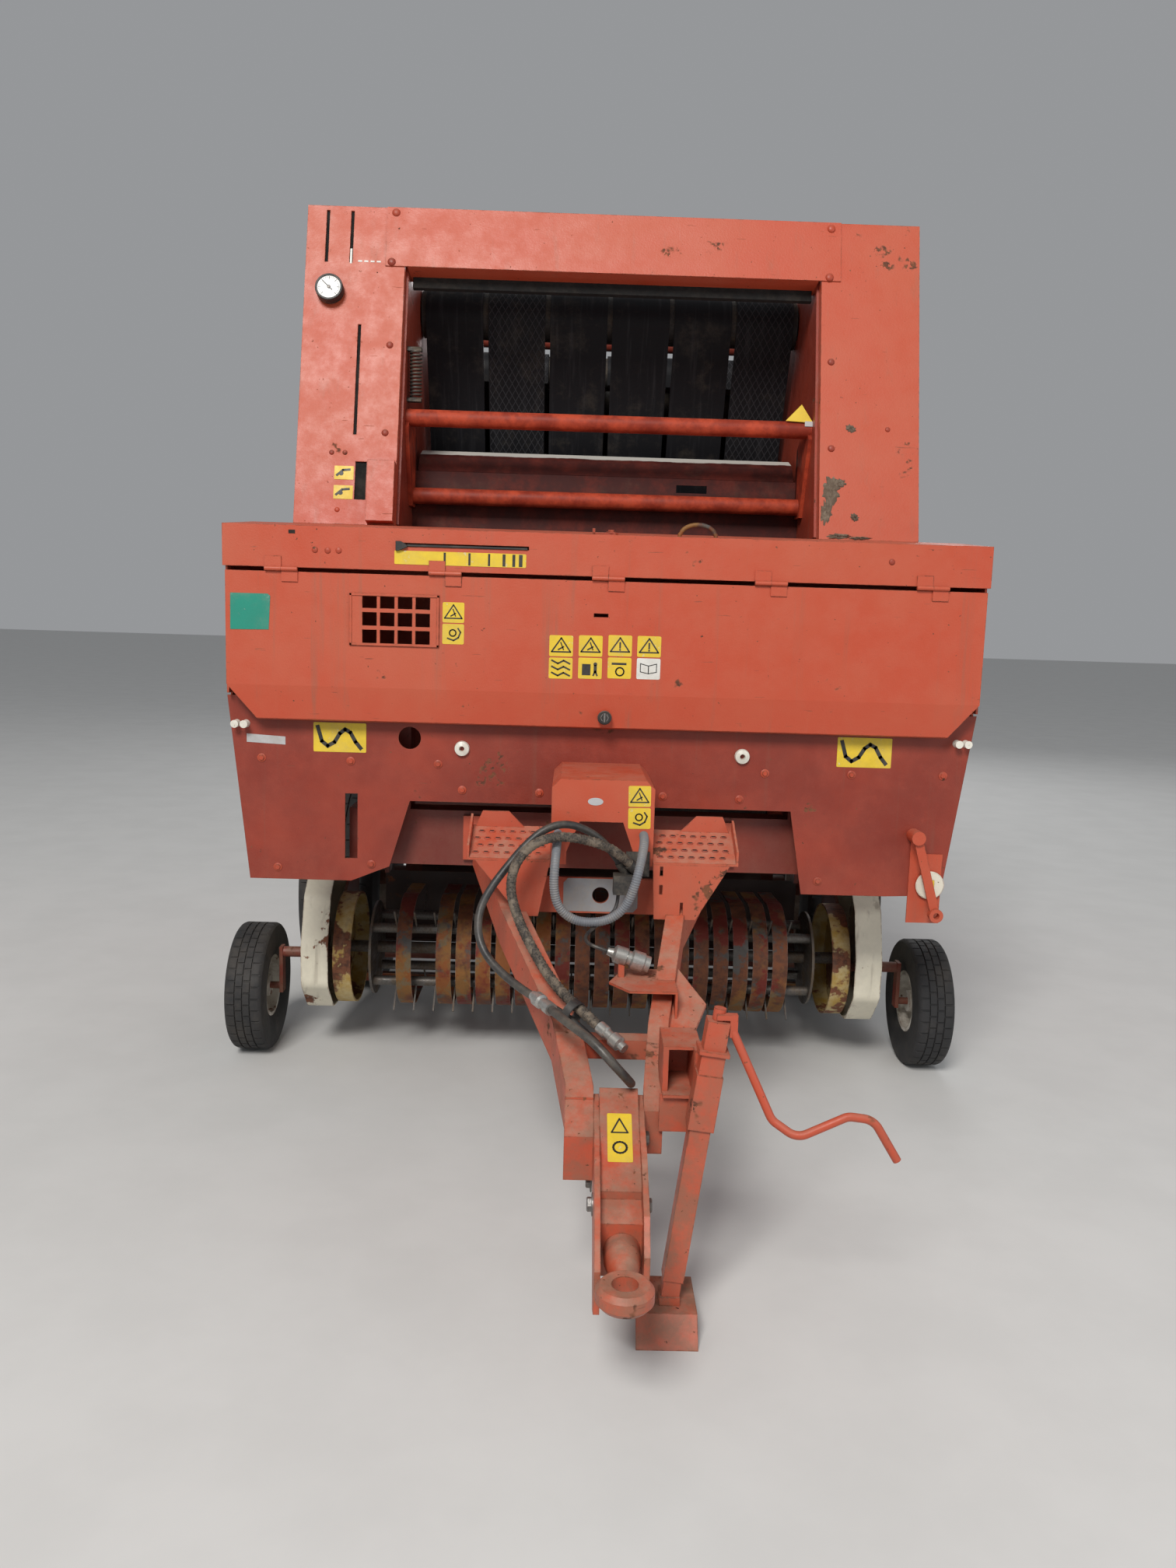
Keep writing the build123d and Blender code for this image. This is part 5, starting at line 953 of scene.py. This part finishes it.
CONDUIT_ROUTE = metres(
    (-118, -895.3, 948), (-118, -945, 948), (-120, -988, 921), (-123, -1013, 878), (-124, -1015, 828),
    (-112, -1012, 780), (-76, -1006, 748), (-29, -1003, 740), (20, -1005, 750), (58, -1010, 784),
    (76, -1015, 830), (88, -1013, 878), (98, -988, 921), (104, -945, 948), (104, -895.3, 948))
CABLE_ROUTE = metres(
    (42, -922, 799.7), (42, -922, 762), (14, -950, 740), (-22, -1000, 726), (-42, -1042, 717),
    (-40, -1079, 712), (-20.5, -1105, 708.1), (12, -1105, 698))


def cord_line(name, route, diameter, material, node):
    """Model a cord as a curve of one smooth spline through its route."""
    curve = bpy.data.curves.new(name, "CURVE")
    curve.dimensions = "3D"
    line = curve.splines.new("NURBS")
    line.points.add(len(route) - 1)
    for point, place in zip(line.points, route):
        point.co = (*place, 1)
    line.order_u = 3
    line.use_endpoint_u = True
    line.resolution_u = 8
    curve.bevel_depth = diameter / 2
    curve.bevel_resolution = 5
    curve.use_fill_caps = True
    curve.materials.append(material)
    cord = linked(name, curve)
    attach(cord, "chassis")
    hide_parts(node)
    return cord


def centre_line(cord):
    """Points along a cord's line, read from its spline."""
    bare = cord.data.copy()
    bare.bevel_depth = 0
    mesh = bpy.data.meshes.new_from_object(bpy.data.objects.new("probe", bare))
    points = [v.co.copy() for v in mesh.vertices]
    bpy.data.curves.remove(bare)
    bpy.data.meshes.remove(mesh)
    return points


def even_steps(points, spacing, start):
    """Places and directions at an even spacing along points."""
    steps, travelled, wanted = [], 0, start
    for a, b in zip(points, points[1:]):
        long = (b - a).length
        while long > 0 and wanted <= travelled + long:
            steps.append((a.lerp(b, (wanted - travelled) / long), (b - a).normalized()))
            wanted += spacing
        travelled += long
    return steps


def placed(position, direction):
    """A placing matrix whose Z follows a direction."""
    matrix = Vector(direction).to_track_quat("Z", "Y").to_matrix().to_4x4()
    matrix.translation = position
    return matrix


net = Net("worn_braid")
weave = net.noise(240, 3, 0.6)
tone = net.mix(net.step(weave, 0.35, 0.65), (0.085, 0.066, 0.05), (0.02, 0.018, 0.016))
tone = net.stain(tone, (0.17, 0.135, 0.1), net.spots(0.46, 0.6, 22, 5, 0.7))
BRAID = net.finish(tone, 0.72, 0, net.bump(weave, 0.0008, 0.7))
HOSE = MATERIALS["hose"]
CONDUIT = MATERIALS["conduit"]

black = cord_line("black_hose_line", BLACK_ROUTE, 0.02, HOSE, "hose_black")
worn = cord_line("worn_hose_line", WORN_ROUTE, 0.024, BRAID, "hose_worn")
grey = cord_line("conduit_line", CONDUIT_ROUTE, 0.022, CONDUIT, "conduit")
cable = cord_line("plug_cable_line", CABLE_ROUTE, 0.009, HOSE, "plug_cable")

# Spiral guard on the worn hose, ribs on the conduit and the tie round the bundle
WRAP_PITCH, WRAP_STEPS, WRAP_OUT = 0.013, 12, 0.0118
wrap = Shape("hose_wrap", "hose_braid", BRAID)
side = Vector((0, 0, 1))
coil = []
for number, (point, way) in enumerate(even_steps(centre_line(worn), WRAP_PITCH / WRAP_STEPS, 0.02)):
    side = (side - way * side.dot(way)).normalized()
    angle = 2 * math.pi * number / WRAP_STEPS
    coil.append(point + WRAP_OUT * (side * math.cos(angle) + way.cross(side) * math.sin(angle)))
wrap.tube(coil, 0.0016, 6)
wrap = wrap.done(60)
ribs = Shape("conduit_ribs", "conduit_grey", CONDUIT)
RIB = [(0.0105, -0.0021), (0.0118, -0.0012), (0.0118, 0.0012), (0.0105, 0.0021)]
for point, way in even_steps(centre_line(grey), 0.0062, 0.008):
    ribs.turned(RIB, placed(point, way), 18, closed=True)
ribs = ribs.done(60)
tie = Shape("hose_tie", "hose_rubber", HOSE)
TIE = [(0.0285, -0.011), (0.0305, -0.01), (0.0305, 0.01), (0.0285, 0.011)]
tie.turned(TIE, placed((-0.069, -1.2845, 0.602), (0.727, -0.596, -0.34)), 28, closed=True)
tie = tie.done()

# Camera, at the photograph's place: metres and degrees
CAMERA_AT = (-0.09025, -3.895, 1.5)
CAMERA_YAW, CAMERA_PITCH, CAMERA_ROLL = -0.8845, -8, 1.7348
FOCAL_PIXELS = 1515
PHOTO_HIGH = 2016
SENSOR = 36

yaw, pitch, roll = (math.radians(a) for a in (CAMERA_YAW, CAMERA_PITCH, CAMERA_ROLL))
camera_turn = Matrix.Rotation(yaw, 4, "Z") @ Matrix.Rotation(math.pi / 2 + pitch, 4, "X")
camera_data = bpy.data.cameras.new("camera")
camera_data.sensor_fit = "VERTICAL"
camera_data.sensor_height = SENSOR
camera_data.lens = FOCAL_PIXELS / PHOTO_HIGH * SENSOR
camera = linked("camera", camera_data)
camera.matrix_world = Matrix.Translation(CAMERA_AT) @ camera_turn @ Matrix.Rotation(roll, 4, "Z")
bpy.context.scene.camera = camera


def area_light(name, place, aim, size, power, colour=(1, 1, 1)):
    """Add a square soft light that faces a point."""
    data = bpy.data.lights.new(name, "AREA")
    data.size = size
    data.energy = power
    data.color = colour
    light = linked(name, data)
    light.location = place
    light.rotation_euler = (Vector(aim) - Vector(place)).to_track_quat("-Z", "Y").to_euler()


area_light("key", (-2.4, -9, 8.4), (0, -0.3, 1.2), 3.4, 1130, (1, 0.97, 0.93))
area_light("fill", (6.5, -5.5, 3), (0, 0, 1), 4, 110, (0.96, 0.98, 1))
area_light("rear", (2.5, 9, 6), (0, 1, 1.4), 4, 170)
world = bpy.data.worlds.new("studio")
world.use_nodes = True
background = world.node_tree.nodes["Background"]
background.inputs["Color"].default_value = (0.84, 0.86, 0.89, 1)
background.inputs["Strength"].default_value = 0.36
bpy.context.scene.world = world
bpy.context.scene.view_settings.view_transform = "Standard"

# Floor
FLOOR_HALF = 60
floor_corners = [(x, y, 0) for x, y in box_outline(-FLOOR_HALF, FLOOR_HALF, -FLOOR_HALF, FLOOR_HALF)]
floor_mesh = bpy.data.meshes.new("floor")
floor_mesh.from_pydata(floor_corners, [], [(0, 1, 2, 3)])
floor = linked("floor", floor_mesh)
net = Net("floor")
tone = net.mix(net.spots(0.3, 0.7, 3, 4, 0.6), (0.6, 0.6, 0.59), (0.63, 0.63, 0.62))
floor_mesh.materials.append(net.finish(tone, 0.9))
